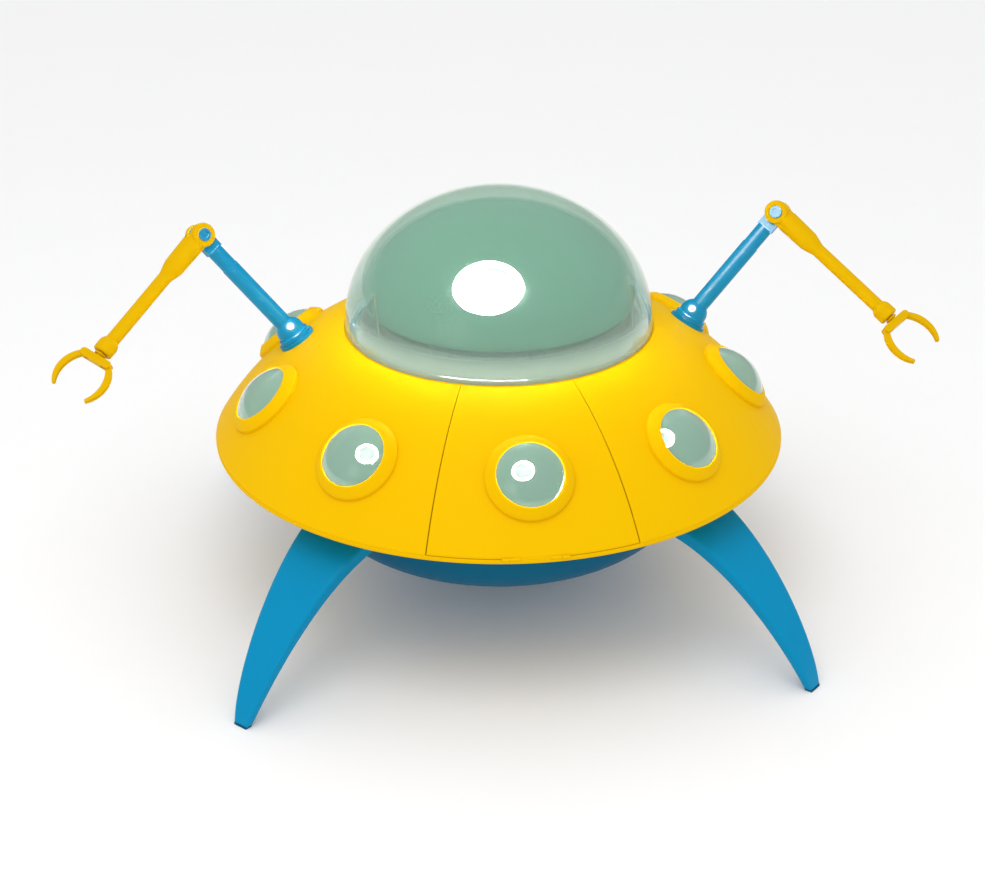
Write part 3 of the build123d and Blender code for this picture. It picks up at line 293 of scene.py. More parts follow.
def metalFinish(name, look):
    # turned or rolled metal: fine rings of noise along one axis in the gloss, blotches in the tint and dull specks
    material, shader, wire, place = startMaterial(name)
    grain = noise(wire, stretched(wire, place, look["grain"]), metal["grainNoise"], 4.0, 0.6)
    blotch = noise(wire, place, metal["blotchScale"], 4.0)
    join(wire, blendTint(wire, blotch, look["tint"], look["deepTint"]), shader, "Base Color")
    gloss = grain.between(look["rough"] - metal["glossDown"], look["rough"] + metal["glossUp"])
    join(wire, gloss, shader, "Roughness")
    speck = noise(wire, place, metal["speckScale"], 2.0).over(metal["speckOver"])
    join(wire, speck * metal["speckDull"] + 1.0, shader, "Metallic")
    join(wire, bumped(wire, grain, metal["lift"], metal["liftDepth"]), shader, "Normal")
    return material


grained = {"creaseWidth": 0.18, "driftScale": 9.0, "glossScale": 30.0, "glossDown": 0.06, "glossUp": 0.1,
           "fineTimes": 3.0, "fineShare": 0.35, "liftDepth": 0.0006}


def grainedFinish(name, look):
    # leathery or matt moulded grain: cells of a Voronoi pattern under a fine noise, with painted shade darkening the
    # creases
    material, shader, wire, place = startMaterial(name)
    cell = wire.node("ShaderNodeTexVoronoi", {"feature": "DISTANCE_TO_EDGE"}, {"Vector": place, "Scale": look["grain"]},
                     "Distance")
    crease = wire.node("ShaderNodeMapRange", {}, {"Value": cell, "From Min": 0.0, "From Max": grained["creaseWidth"]})
    drift = noise(wire, place, grained["driftScale"], 3.0)
    body = blendTint(wire, drift, look["tint"], look["deepTint"])
    # painted shade: the colour darkens towards the crease colour in the grain's grooves
    join(wire, blendTint(wire, crease, look["creaseShadeTint"], body), shader, "Base Color")
    gloss = noise(wire, place, grained["glossScale"], 4.0)
    gloss = gloss.between(look["rough"] - grained["glossDown"], look["rough"] + grained["glossUp"])
    join(wire, gloss, shader, "Roughness")
    fine = noise(wire, place, look["grain"] * grained["fineTimes"], 3.0)
    join(wire, bumped(wire, crease + fine * grained["fineShare"], look["lift"], grained["liftDepth"]), shader, "Normal")
    shader.inputs["Specular IOR Level"].default_value = look["specular"]
    return material


yellow = {"tint": tint(0.83, 0.488, 0.0005), "deepTint": tint(0.80, 0.464, 0.0005),
          "fleckTint": tint(0.62, 0.34, 0.003), "driftScale": 2.6, "fleck": 0.25, "rough": 0.45, "rub": 0.07,
          "peelScale": 150.0, "peel": 0.10, "coat": 0.0, "coatRough": 0.22, "specular": 0.02}
blue = {"tint": tint(0.001, 0.255, 0.48), "deepTint": tint(0.001, 0.235, 0.45), "fleckTint": tint(0.01, 0.14, 0.26),
        "driftScale": 3.0, "fleck": 0.25, "rough": 0.30, "rub": 0.08, "peelScale": 160.0, "peel": 0.10,
        "coat": 0.0, "coatRough": 0.14, "specular": 0.08}
finishes = {
    "yellow_shell": mouldedFinish("sunYellowShell", yellow),
    "yellow_arm": mouldedFinish("sunYellowArm", dict(yellow, tint=tint(0.72, 0.42, 0.001),
                                                     deepTint=tint(0.68, 0.39, 0.001), rough=0.3, peelScale=210.0)),
    "blue_gloss": mouldedFinish("skyBlueGelcoat", blue),
    "blue_arm": mouldedFinish("skyBlueArm", dict(blue, tint=tint(0.002, 0.25, 0.46), deepTint=tint(0.002, 0.23, 0.43),
                                                 peelScale=220.0, rough=0.2, peel=0.05, specular=0.2)),
    # each clear finish's lighter rim tint is a painted reflection along its grazing edges
    "canopy_clear": clearFinish("clearBubble", {
        "tint": tint(0.44, 0.60, 0.52), "deepTint": tint(0.41, 0.57, 0.49), "through": tint(0.93, 0.98, 0.95),
        "rough": 0.03, "specular": 0.9, "coat": 1.0, "solid": 0.24, "edge": 0.62, "footHeight": 0.741,
        "footSolid": 0.62, "paintedRimTint": tint(0.62, 0.74, 0.69), "paintedRimPower": 4.0}),
    "canopy_tint": clearFinish("deepGreenBubble", {
        "tint": tint(0.115, 0.345, 0.25), "deepTint": tint(0.095, 0.315, 0.225), "through": tint(0.50, 0.80, 0.68),
        "rough": 0.12, "specular": 0.5, "coat": 0.2, "solid": 0.88, "edge": 0.97,
        "paintedRimTint": tint(0.16, 0.40, 0.30), "paintedRimPower": 5.0}),
    "lens_clear": clearFinish("clearLens", {
        "tint": tint(0.36, 0.54, 0.44), "deepTint": tint(0.33, 0.50, 0.41), "through": tint(0.90, 0.97, 0.94),
        "rough": 0.03, "specular": 0.9, "coat": 1.0, "solid": 0.66, "edge": 0.92,
        "paintedRimTint": tint(0.72, 0.82, 0.78), "paintedRimPower": 3.0}),
    "lamp_green": mouldedFinish("lampGreen", {
        "tint": tint(0.24, 0.46, 0.35), "deepTint": tint(0.21, 0.42, 0.32), "fleckTint": tint(0.15, 0.3, 0.22),
        "driftScale": 14.0, "fleck": 0.2, "rough": 0.30, "rub": 0.04, "peelScale": 300.0, "peel": 0.08,
        "coat": 0.5, "coatRough": 0.1, "specular": 0.5}),
    "tub_teal": grainedFinish("tubTeal", {
        "tint": tint(0.16, 0.32, 0.26), "deepTint": tint(0.13, 0.28, 0.22), "creaseShadeTint": tint(0.09, 0.2, 0.16),
        "grain": 420.0, "rough": 0.5, "lift": 0.3, "specular": 0.4}),
    "seat_vinyl": grainedFinish("seatVinyl", {
        "tint": tint(0.006, 0.17, 0.32), "deepTint": tint(0.005, 0.14, 0.27), "creaseShadeTint": tint(0.003, 0.08, 0.16),
        "grain": 330.0, "rough": 0.42, "lift": 0.45, "specular": 0.45}),
    "knob_red": mouldedFinish("knobRed", {
        "tint": tint(0.62, 0.02, 0.015), "deepTint": tint(0.5, 0.015, 0.012), "fleckTint": tint(0.3, 0.01, 0.01),
        "driftScale": 20.0, "fleck": 0.2, "rough": 0.18, "rub": 0.1, "peelScale": 300.0, "peel": 0.05,
        "coat": 0.6, "coatRough": 0.06, "specular": 0.5}),
    "button_green": mouldedFinish("buttonGreen", {
        "tint": tint(0.04, 0.45, 0.1), "deepTint": tint(0.03, 0.36, 0.08), "fleckTint": tint(0.02, 0.2, 0.05),
        "driftScale": 20.0, "fleck": 0.2, "rough": 0.22, "rub": 0.1, "peelScale": 300.0, "peel": 0.05,
        "coat": 0.5, "coatRough": 0.08, "specular": 0.5}),
    "black_rubber": grainedFinish("soleRubber", {
        "tint": tint(0.022, 0.022, 0.024), "deepTint": tint(0.035, 0.034, 0.034), "creaseShadeTint": tint(0.01, 0.01, 0.01),
        "grain": 500.0, "rough": 0.75, "lift": 0.5, "specular": 0.3}),
    "machined_steel": metalFinish("machinedSteel", {
        "tint": tint(0.48, 0.48, 0.49), "deepTint": tint(0.38, 0.385, 0.40), "grain": (1.0, 1.0, 30.0), "rough": 0.32}),
    "zinc_steel": metalFinish("zincSteel", {
        "tint": tint(0.58, 0.58, 0.56), "deepTint": tint(0.47, 0.47, 0.44), "grain": (4.0, 4.0, 4.0), "rough": 0.4}),
    "stay_steel": metalFinish("stayWire", {
        "tint": tint(0.16, 0.24, 0.21), "deepTint": tint(0.12, 0.19, 0.165), "grain": (1.0, 1.0, 22.0), "rough": 0.45}),
    # painted shade: the belly pan takes the blue gelcoat at about half its brightness, standing in for the shade under
    # the saucer
    "blue_pan_painted_shade": mouldedFinish("panBluePaintedShade", dict(blue, tint=tint(0.001, 0.125, 0.235), deepTint=tint(0.001, 0.105, 0.205),
                                              rough=0.4)),
    "seal_grey": grainedFinish("sealGrey", {
        "tint": tint(0.36, 0.47, 0.41), "deepTint": tint(0.32, 0.43, 0.37), "creaseShadeTint": tint(0.26, 0.35, 0.30),
        "grain": 500.0, "rough": 0.6, "lift": 0.3, "specular": 0.2}),
    "sole_blue": grainedFinish("soleBlue", {
        "tint": tint(0.002, 0.15, 0.27), "deepTint": tint(0.002, 0.12, 0.22), "creaseShadeTint": tint(0.001, 0.06, 0.11),
        "grain": 500.0, "rough": 0.7, "lift": 0.5, "specular": 0.2}),
    "motor_paint": mouldedFinish("motorEnamel", {
        "tint": tint(0.09, 0.1, 0.11), "deepTint": tint(0.07, 0.075, 0.085), "fleckTint": tint(0.18, 0.17, 0.16),
        "driftScale": 12.0, "fleck": 0.5, "rough": 0.42, "rub": 0.1, "peelScale": 240.0, "peel": 0.3,
        "coat": 0.1, "coatRough": 0.3, "specular": 0.5}),
    "dark_plastic": grainedFinish("darkPlastic", {
        "tint": tint(0.045, 0.047, 0.05), "deepTint": tint(0.035, 0.036, 0.04), "creaseShadeTint": tint(0.02, 0.02, 0.022),
        "grain": 380.0, "rough": 0.5, "lift": 0.3, "specular": 0.4}),
}
slotOf = {p["node"]: p["material_slot"] for p in frame["record"]["subparts"]}
# the belly pan's darker blue is painted shade for the underside
shownAs = {"belly_pan": "blue_pan_painted_shade", "foot_pads": "sole_blue", "hatch_hinge_pin": "yellow_shell",
           "canopy_seal": "seal_grey"}
for node, thing in cad.items():
    thing.data.materials.clear()
    thing.data.materials.append(finishes[shownAs.get(node, slotOf[node])])
print("materials made:", len(finishes))


floorMaterial, floorShader, floorWire, floorPlace = startMaterial("paleFloor")
floorTone = noise(floorWire, floorPlace, 3.0, 4.0).between(0.0, 1.0)
floorBlend = blendTint(floorWire, floorTone, studio["floorTint"], studio["floorDeepTint"])
join(floorWire, floorBlend, floorShader, "Base Color")
floorShader.inputs["Roughness"].default_value = studio["floorRough"]
floorShader.inputs["Specular IOR Level"].default_value = studio["floorSpecular"]
floorMesh = bpy.data.meshes.new("studioFloor")
floorEdge = studio["floorHalf"]
floorMesh.from_pydata([(-floorEdge, -floorEdge, 0), (floorEdge, -floorEdge, 0), (floorEdge, floorEdge, 0),
                       (-floorEdge, floorEdge, 0)], [], [(0, 1, 2, 3)])
floor = bpy.data.objects.new("studioFloor", floorMesh)
scene.collection.objects.link(floor)
floorMesh.materials.append(floorMaterial)


def gridFaces(rows, columns, wrapRows, wrapColumns, keep=None):
    # four-cornered faces of a grid of points; a wrapped side joins its last line to its first
    i, j = np.meshgrid(np.arange(rows if wrapRows else rows - 1),
                       np.arange(columns if wrapColumns else columns - 1), indexing="ij")
    a = i * columns + j
    b = i * columns + (j + 1) % columns
    c = ((i + 1) % rows) * columns + (j + 1) % columns
    d = ((i + 1) % rows) * columns + j
    faces = np.stack([a, b, c, d], axis=-1).reshape(-1, 4)
    return faces if keep is None else faces[keep.reshape(-1)]


def addPiece(name, points, faces, body, slot, nodes=(), sharp=38.0, merge=1e-6):
    # a mesh piece from an array of points and an array of faces, smooth but for edges over an angle
    mesh = bpy.data.meshes.new(name)
    faces = [tuple(dict.fromkeys(f)) for f in np.asarray(faces).tolist()]
    mesh.from_pydata(np.asarray(points, float).reshape(-1, 3).tolist(), [], [f for f in faces if len(f) > 2])
    piece = bpy.data.objects.new(name, mesh)
    scene.collection.objects.link(piece)
    tidyMesh(mesh, merge)
    mesh.shade_smooth()
    mesh.set_sharp_from_angle(angle=math.radians(sharp))
    mesh.materials.append(finishes[slot])
    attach(piece, body)
    if nodes:
        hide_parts(*nodes)
    return piece


def tidyMesh(mesh, merge):
    # closes poles and seams and turns every face outwards
    work = bmesh.new()
    work.from_mesh(mesh)
    bmesh.ops.remove_doubles(work, verts=work.verts, dist=merge)
    loose = [v for v in work.verts if not v.link_faces]
    bmesh.ops.delete(work, geom=loose, context="VERTS")
    bmesh.ops.recalc_face_normals(work, faces=work.faces)
    work.to_mesh(mesh)
    work.free()


def roundedLine(corners, steps=5):
    # each corner (x, y, radius) of a closed outline becomes a short parabola that leaves its two sides at
    # the radius, or short of their middles: (1 - s)^2 start + 2 s (1 - s) corner + s^2 end
    marks = np.array([c[:2] for c in corners], float)
    reach = np.array([c[2] for c in corners], float)
    before, after = np.roll(marks, 1, 0), np.roll(marks, -1, 0)
    toBefore, toAfter = before - marks, after - marks
    lengthBefore = np.linalg.norm(toBefore, axis=1, keepdims=True) + 1e-12
    lengthAfter = np.linalg.norm(toAfter, axis=1, keepdims=True) + 1e-12
    start = marks + toBefore / lengthBefore * np.minimum(reach[:, None], lengthBefore * 0.48)
    end = marks + toAfter / lengthAfter * np.minimum(reach[:, None], lengthAfter * 0.48)
    s = np.linspace(0, 1, steps)[None, :, None]
    curve = (1 - s) ** 2 * start[:, None] + 2 * s * (1 - s) * marks[:, None] + s ** 2 * end[:, None]
    line = curve.reshape(-1, 2)
    apart = np.linalg.norm(line - np.roll(line, 1, 0), axis=1) > 1e-7
    return line[apart]


def turned(profile, steps, origin=(0, 0, 0), xDir=(1, 0, 0), yDir=(0, 1, 0), zDir=(0, 0, 1)):
    # a profile of (radius, height) turned round an axis: point = origin + r cos t X + r sin t Y + h Z
    t = np.linspace(0, 2 * math.pi, steps, endpoint=False)[:, None]
    r, h = profile[None, :, 0], profile[None, :, 1]
    xDir, yDir, zDir = (np.array(v, float) for v in (xDir, yDir, zDir))
    return (np.array(origin, float) + (r * np.cos(t))[..., None] * xDir + (r * np.sin(t))[..., None] * yDir
            + (np.ones_like(t) * h)[..., None] * zDir)


def turnedPiece(name, profile, steps, body, slot, nodes=(), sharp=38.0):
    # one closed profile turned round the upright axis
    points = turned(profile, steps)
    return addPiece(name, points, gridFaces(points.shape[0], points.shape[1], True, True), body, slot, nodes, sharp)


def manyTurned(name, profile, steps, places, body, slot, nodes=(), sharp=38.0):
    # the same turned shape at several places, in one piece
    points, faces, count = [], [], 0
    for place in places:
        ring = turned(profile, steps, **place)
        faces.append(gridFaces(ring.shape[0], ring.shape[1], True, True) + count)
        points.append(ring.reshape(-1, 3))
        count += len(points[-1])
    return addPiece(name, np.concatenate(points), np.concatenate(faces), body, slot, nodes, sharp)


def power(value, share):
    # the signed power: the sign of a value times its size to the share
    return np.sign(value) * np.abs(value) ** share


def bezier(a, b, c, d, share):
    # cubic curve through a and d: (1 - s)^3 a + 3 s (1 - s)^2 b + 3 s^2 (1 - s) c + s^3 d
    s = np.asarray(share)[:, None]
    a, b, c, d = (np.array(v, float) for v in (a, b, c, d))
    return (1 - s) ** 3 * a + 3 * s * (1 - s) ** 2 * b + 3 * s * s * (1 - s) * c + s ** 3 * d


saucer = {
    "deckRadius": 0.402, "edgeRadius": 0.749, "bandTop": 0.441, "bandLow": 0.428, "bandInner": 0.7285, "radius": 0.750,
    "noseRound": 0.0085, "wall": 0.006, "arcRadius": 0.71812, "arcX": 0.142565, "arcZ": 0.056383, "deckGap": 0.0002,
    "bandGap": 0.0003, "seamAngle": 20.0, "seamGap": 0.13, "seamRound": 0.0022, "meanRadius": 0.6,
    "hatchLowRadius": 0.7479, "holeDepth": 0.08, "rings": 60, "turns": 660, "hatchTurns": 130, "noseTurns": 720,
}
shoulders = {"azimuths": (100.9, -100.9), "radius": 0.534, "holeRadius": 0.032}
hatchEyes = {"radius": 0.0038, "axis": (-0.747, 0.4415), "hatchSpread": 0.048, "hatchLength": 0.026, "rimSpread": 0.072,
             "rimLength": 0.018, "turns": 32}
portholes = {
    "seatRadius": 0.623, "step": 40.0, "lensRadius": 0.081, "ledge": 0.008, "skirt": 0.012, "bulge": 0.030,
    "lensWall": 0.0045, "lensGap": 0.0003, "lensEdge": 0.0012, "holeRadius": 0.090, "ribs": 28, "ribRise": 0.0013,
    "ribSteps": 8, "ringTurns": 128, "domeTurns": 96, "frontRingTurns": 160, "frontDomeTurns": 128, "domeSteps": 26,
}


def shellAngle(radius):
    # elevation of the shell's normal at a distance from the axis: arc cosine of (radius - arcX) / arcRadius
    return math.acos((radius - saucer["arcX"]) / saucer["arcRadius"])


def seatPlace(azimuth, radius):
    # origin on the shell and the three directions of a seat; azimuth runs from the front towards +X
    lift, turn = shellAngle(radius), math.radians(azimuth)
    z = saucer["arcZ"] + saucer["arcRadius"] * math.sin(lift)
    out = np.array([math.sin(turn), -math.cos(turn), 0.0])
    side = np.array([math.cos(turn), math.sin(turn), 0.0])
    up = out * math.cos(lift) + np.array([0, 0, math.sin(lift)])
    return {"origin": out * radius + np.array([0, 0, z]), "xDir": side, "yDir": np.cross(up, side), "zDir": up}


def sectorShell(name, startAzimuth, endAzimuth, lowRadius, body, nodes, holes, turns):
    # a part of the shell between two azimuths: radius = arcX + reach cos e and height = arcZ + reach sin e,
    # where e runs from the deck to the edge and the reach drops by a quarter circle along the borders;
    # cells inside the holes are left out, and the sheet then gets its wall
    top, end = shellAngle(saucer["deckRadius"] + saucer["deckGap"]), shellAngle(lowRadius)
    roll, mean = saucer["seamRound"], saucer["meanRadius"]
    lengthAlong = saucer["arcRadius"] * (top - end)
    bend = np.array([0.0, 0.02, 0.3, 0.7])               # extra grid lines in the rolled border, as shares of it
    along = np.linspace(0, 1, saucer["rings"])
    line = np.concatenate([bend * roll / lengthAlong, along[1:-1], 1 - bend[::-1] * roll / lengthAlong])
    across = np.linspace(math.radians(startAzimuth), math.radians(endAzimuth), turns)
    across = np.concatenate([across[0] + bend * roll / mean, across[1:-1], across[-1] - bend[::-1] * roll / mean])
    line.sort()
    across.sort()
    u, v = np.meshgrid(across, line, indexing="ij")
    lift = top + (end - top) * v
    fromEdge = np.minimum(np.minimum(u - across[0], across[-1] - u) * mean, np.minimum(v, 1 - v) * lengthAlong)
    sunk = roll - np.sqrt(np.maximum(roll ** 2 - np.maximum(roll - fromEdge, 0) ** 2, 0))
    reach = saucer["arcRadius"] - np.where(fromEdge < roll, sunk, 0.0)
    r = saucer["arcX"] + reach * np.cos(lift)
    z = saucer["arcZ"] + reach * np.sin(lift)
    points = np.stack([r * np.sin(u), -r * np.cos(u), z], axis=-1)
    middle = (points[:-1, :-1] + points[1:, 1:] + points[1:, :-1] + points[:-1, 1:]) / 4
    keep = np.ones(middle.shape[:2], bool)
    for place, radius in holes:
        off = middle - place["origin"]
        high = (off * place["zDir"]).sum(-1)
        flat = np.linalg.norm(off - high[..., None] * place["zDir"], axis=-1)
        keep &= ~((flat < radius) & (np.abs(high) < saucer["holeDepth"]))
    faces = gridFaces(points.shape[0], points.shape[1], False, False, keep)
    piece = addPiece(name, points, faces, body, "yellow_shell", nodes, 50.0)
    mesh = piece.data
    normals = np.zeros(len(mesh.polygons) * 3)
    mesh.polygons.foreach_get("normal", normals)
    if normals[2::3].sum() < 0:                          # outwards is upwards on the shell
        mesh.flip_normals()
    wall = piece.modifiers.new("wall", "SOLIDIFY")
    wall.thickness, wall.offset = saucer["wall"], -1.0
    return piece


steps = [portholes["step"] * k for k in range(1, 9)]
seats = [seatPlace(a, portholes["seatRadius"]) for a in steps]
frontSeat = seatPlace(0.0, portholes["seatRadius"])
shoulderSeats = [seatPlace(a, shoulders["radius"]) for a in shoulders["azimuths"]]
shellHoles = [(s, portholes["holeRadius"]) for s in seats] + [(s, shoulders["holeRadius"]) for s in shoulderSeats]
sectorShell("saucer_shell", saucer["seamAngle"], 360.0 - saucer["seamAngle"], saucer["edgeRadius"], "saucer",
            ["upper_shell"], shellHoles, saucer["turns"])
hatchSide = saucer["seamAngle"] - saucer["seamGap"]
sectorShell("front_hatch_panel", -hatchSide, hatchSide, saucer["hatchLowRadius"], "hatch", ["service_hatch"],
            [(frontSeat, portholes["holeRadius"])], saucer["hatchTurns"])
bandInner, bandOuter = saucer["bandInner"], saucer["radius"]
bandLow, bandTop = saucer["bandLow"], saucer["bandTop"] - saucer["bandGap"]
noseLine = roundedLine([(bandInner, bandLow, 0.001), (bandOuter, bandLow, saucer["noseRound"]),
                        (bandOuter, bandTop, 0.0016), (bandInner, bandTop, 0.001)], 7)
turnedPiece("rim_nosing", noseLine, saucer["noseTurns"], "saucer", "yellow_shell", ["rim_band"], 60.0)


def eyeLine(length):
    # profile of a small rolled eye, along its own axis
    half, r = length / 2, hatchEyes["radius"]
    return roundedLine([(0.0005, -half, 0.0001), (r, -half, 0.0009), (r, half, 0.0009), (0.0005, half, 0.0001)], 5)


def eyePlaces(spread):
    # the same distance to each side of the middle, on the hatch's hinge line
    y, z = hatchEyes["axis"]
    return [{"origin": (x, y, z), "xDir": (0, 1, 0), "yDir": (0, 0, 1), "zDir": (1, 0, 0)} for x in (-spread, spread)]


manyTurned("hatch_hinge_eyes", eyeLine(hatchEyes["hatchLength"]), hatchEyes["turns"],
           eyePlaces(hatchEyes["hatchSpread"]), "hatch", "yellow_shell")
manyTurned("rim_hinge_eyes", eyeLine(hatchEyes["rimLength"]), hatchEyes["turns"],
           eyePlaces(hatchEyes["rimSpread"]), "saucer", "yellow_shell")
print("saucer shell, hatch and rim made")


# distance from the porthole's axis, height over the shell and rounding of each corner of the ring
bezelCorners = [
    (0.0725, -0.020, 0.0), (0.0935, -0.020, 0.0), (0.1070, -0.0145, 0.002), (0.1078, 0.0012, 0.0016),
    (0.1040, 0.0062, 0.004), (0.0970, 0.0128, 0.007), (0.0900, 0.0188, 0.006), (0.0848, 0.0218, 0.0022),
    (0.0824, 0.0216, 0.0010), (0.0815, 0.0200, 0.0008), (0.0815, 0.0080, 0.0005), (0.0725, 0.0080, 0.0005),
]
bezelProfile = roundedLine(bezelCorners, 5)


def domeCap(radius, rise, count):
    # half of a round dome from its rim to its top: a circle arc through both
    ball = (radius * radius + rise * rise) / (2 * rise)
    half = math.asin(min(radius / ball, 1.0))
    if rise > radius:
        half = math.pi - half
    t = np.linspace(half, 0, count)
    return np.stack([ball * np.sin(t), rise - ball * (1 - np.cos(t))], axis=-1)


def lensProfile():
    # outer skirt and dome, then the same dome a wall further in
    radius, wall = portholes["lensRadius"], portholes["lensWall"]
    top = portholes["ledge"] + portholes["skirt"]
    low, count = portholes["ledge"] + portholes["lensGap"], portholes["domeSteps"]
    outer = domeCap(radius, portholes["bulge"], count) + [0, top]
    inner = domeCap(radius - wall, portholes["bulge"] - wall, count)[::-1] + [0, top]
    foot = np.array([[radius - wall, low], [radius - 0.0008, low],
                     [radius, portholes["ledge"] + portholes["lensEdge"]]])
    return np.concatenate([foot, outer, inner])


# distance from the axis, height, and share of the ribs' rise at each ring of points of a lamp dish
cupRings = np.array([
    (0.0000, -0.0205, 0.0), (0.0120, -0.0212, 0.0), (0.0200, -0.0235, 0.0), (0.0235, -0.0262, 0.0),
    (0.0260, -0.0290, 0.3), (0.0340, -0.0295, 1.0), (0.0440, -0.0275, 1.0), (0.0540, -0.0225, 1.0),
    (0.0620, -0.0150, 1.0), (0.0680, -0.0045, 0.8), (0.0712, 0.0040, 0.0), (0.0715, 0.0092, 0.0),
    (0.0755, 0.0098, 0.0), (0.0757, 0.0084, 0.0), (0.0720, 0.0082, 0.0), (0.0719, 0.0040, 0.0),
    (0.0719, -0.0343, 0.0), (0.0000, -0.0345, 0.0),
])


def ribbedCups(name, places, body, nodes):
    # a dish whose floor carries radial ribs: height + rise cos(n t) squared, at r cos t, r sin t
    t = np.linspace(0, 2 * math.pi, portholes["ribs"] * portholes["ribSteps"], endpoint=False)
    wave = np.cos(t[:, None] * portholes["ribs"]) ** 2 * portholes["ribRise"] * cupRings[None, :, 2]
    r = cupRings[None, :, 0] * np.ones((len(t), 1))
    h = cupRings[None, :, 1] + wave
    points, faces, count = [], [], 0
    for p in places:
        ring = (p["origin"] + (r * np.cos(t)[:, None])[..., None] * p["xDir"]
                + (r * np.sin(t)[:, None])[..., None] * p["yDir"] + h[..., None] * p["zDir"])
        faces.append(gridFaces(ring.shape[0], ring.shape[1], True, False) + count)
        points.append(ring.reshape(-1, 3))
        count += len(points[-1])
    return addPiece(name, np.concatenate(points), np.concatenate(faces), body, "lamp_green", nodes, 60.0)


manyTurned("porthole_rings", bezelProfile, portholes["ringTurns"], seats, "saucer", "yellow_shell", ["porthole_bezels"])
manyTurned("porthole_domes", lensProfile(), portholes["domeTurns"], seats, "saucer", "lens_clear", ["porthole_lenses"])
ribbedCups("porthole_lamps", seats, "saucer", ["lamp_cups"])
manyTurned("hatch_porthole_ring", bezelProfile, portholes["frontRingTurns"], [frontSeat], "hatch", "yellow_shell",
           ["hatch_bezel"])
manyTurned("hatch_porthole_dome", lensProfile(), portholes["frontDomeTurns"], [frontSeat], "hatch", "lens_clear",
           ["hatch_lens"])
ribbedCups("hatch_porthole_lamp", [frontSeat], "hatch", ["hatch_lamp_cup"])
print("portholes made")


canopy = {
    "radius": 0.400, "foot": 0.732, "height": 0.348, "wall": 0.006, "footWidth": 0.014, "footHeight": 0.009,
    "fullness": 0.552, "linerRadius": 0.352, "linerLift": 0.072, "linerTopGap": 0.038, "linerWall": 0.004,
    "linerRoll": 0.016, "lipThin": 0.0024, "spacing": 0.94, "ringWidth": 0.0198, "ringLow": 0.7322, "ringTop": 0.7398,
    "steps": 220, "ringSteps": 200, "count": 46,
}


def domeLine(radius, height, base):
    # quarter of an upright oval from its foot to its top, as one cubic curve
    k, share = canopy["fullness"], np.linspace(0, 1, canopy["count"]) ** canopy["spacing"]
    return bezier((radius, base), (radius, base + k * height), (k * radius, base + height), (0, base + height), share)


radius, wall, foot = canopy["radius"], canopy["wall"], canopy["foot"]
footTop = foot + canopy["footHeight"]
footInner = radius - canopy["footWidth"]
domeHeight = canopy["height"] - canopy["footHeight"]
outerLine = domeLine(radius - 0.0006, domeHeight, footTop)
innerLine = domeLine(radius - wall, domeHeight - wall, footTop)[::-1]
footLine = roundedLine([(footInner, footTop - 0.0003, 0.001), (footInner, foot, 0.001), (radius, foot, 0.0016),
                        (radius, footTop - 0.0004, 0.0016)], 4)
shellLine = np.concatenate([footLine, outerLine, innerLine])
turnedPiece("canopy_bubble", shellLine, canopy["steps"], "canopy", "canopy_clear", ["canopy_shell"], 60.0)

base = foot + canopy["linerLift"]
linerRadius, linerWall, linerRoll = canopy["linerRadius"], canopy["linerWall"], canopy["linerRoll"]
linerHeight = canopy["height"] - canopy["linerLift"] - canopy["linerTopGap"]
linerOuter = domeLine(linerRadius, linerHeight, base)
linerInner = domeLine(linerRadius - linerWall, linerHeight - linerWall, base)[::-1]
turn = np.linspace(0, 1, 9)[1:-1]
rollOut = np.stack([linerRadius - linerRoll * (1 - np.cos(turn * math.pi / 2)) - canopy["lipThin"] * turn,
                    base - linerRoll * np.sin(turn * math.pi / 2)], axis=-1)
rollIn = rollOut + [-linerWall * 0.9, linerWall * 0.55]
linerLine = np.concatenate([linerOuter, linerInner, rollIn, rollOut[::-1]])     # down the inside, round the lip and up
turnedPiece("canopy_inner_bubble", linerLine, canopy["steps"], "canopy", "canopy_tint", ["canopy_liner"], 60.0)

ringOuter = footInner - 0.0002
ringInner = ringOuter - canopy["ringWidth"]
ringLine = roundedLine([(ringOuter, canopy["ringLow"], 0.001), (ringOuter, canopy["ringTop"], 0.002),
                        (ringInner, canopy["ringTop"], 0.002), (ringInner, canopy["ringLow"], 0.001)], 4)
turnedPiece("canopy_foot_ring", ringLine, canopy["ringSteps"], "canopy", "canopy_clear", ["canopy_ring"])
print("canopy made")


legs = {
    "path": ((0.467, 0.409), (0.752, 0.443), (0.978, 0.102), (1.006, 0.0)), "rootThick": 0.052, "toeThick": 0.017,
    "halfWidths": (0.126, 0.066, 0.020), "sections": 64, "around": 44, "edge": 0.30, "padHeight": 0.006,
    "tabRadius": 0.335,
    "azimuths": {"front_right": 45.0, "front_left": -45.0, "rear_right": 135.0, "rear_left": -135.0},
}


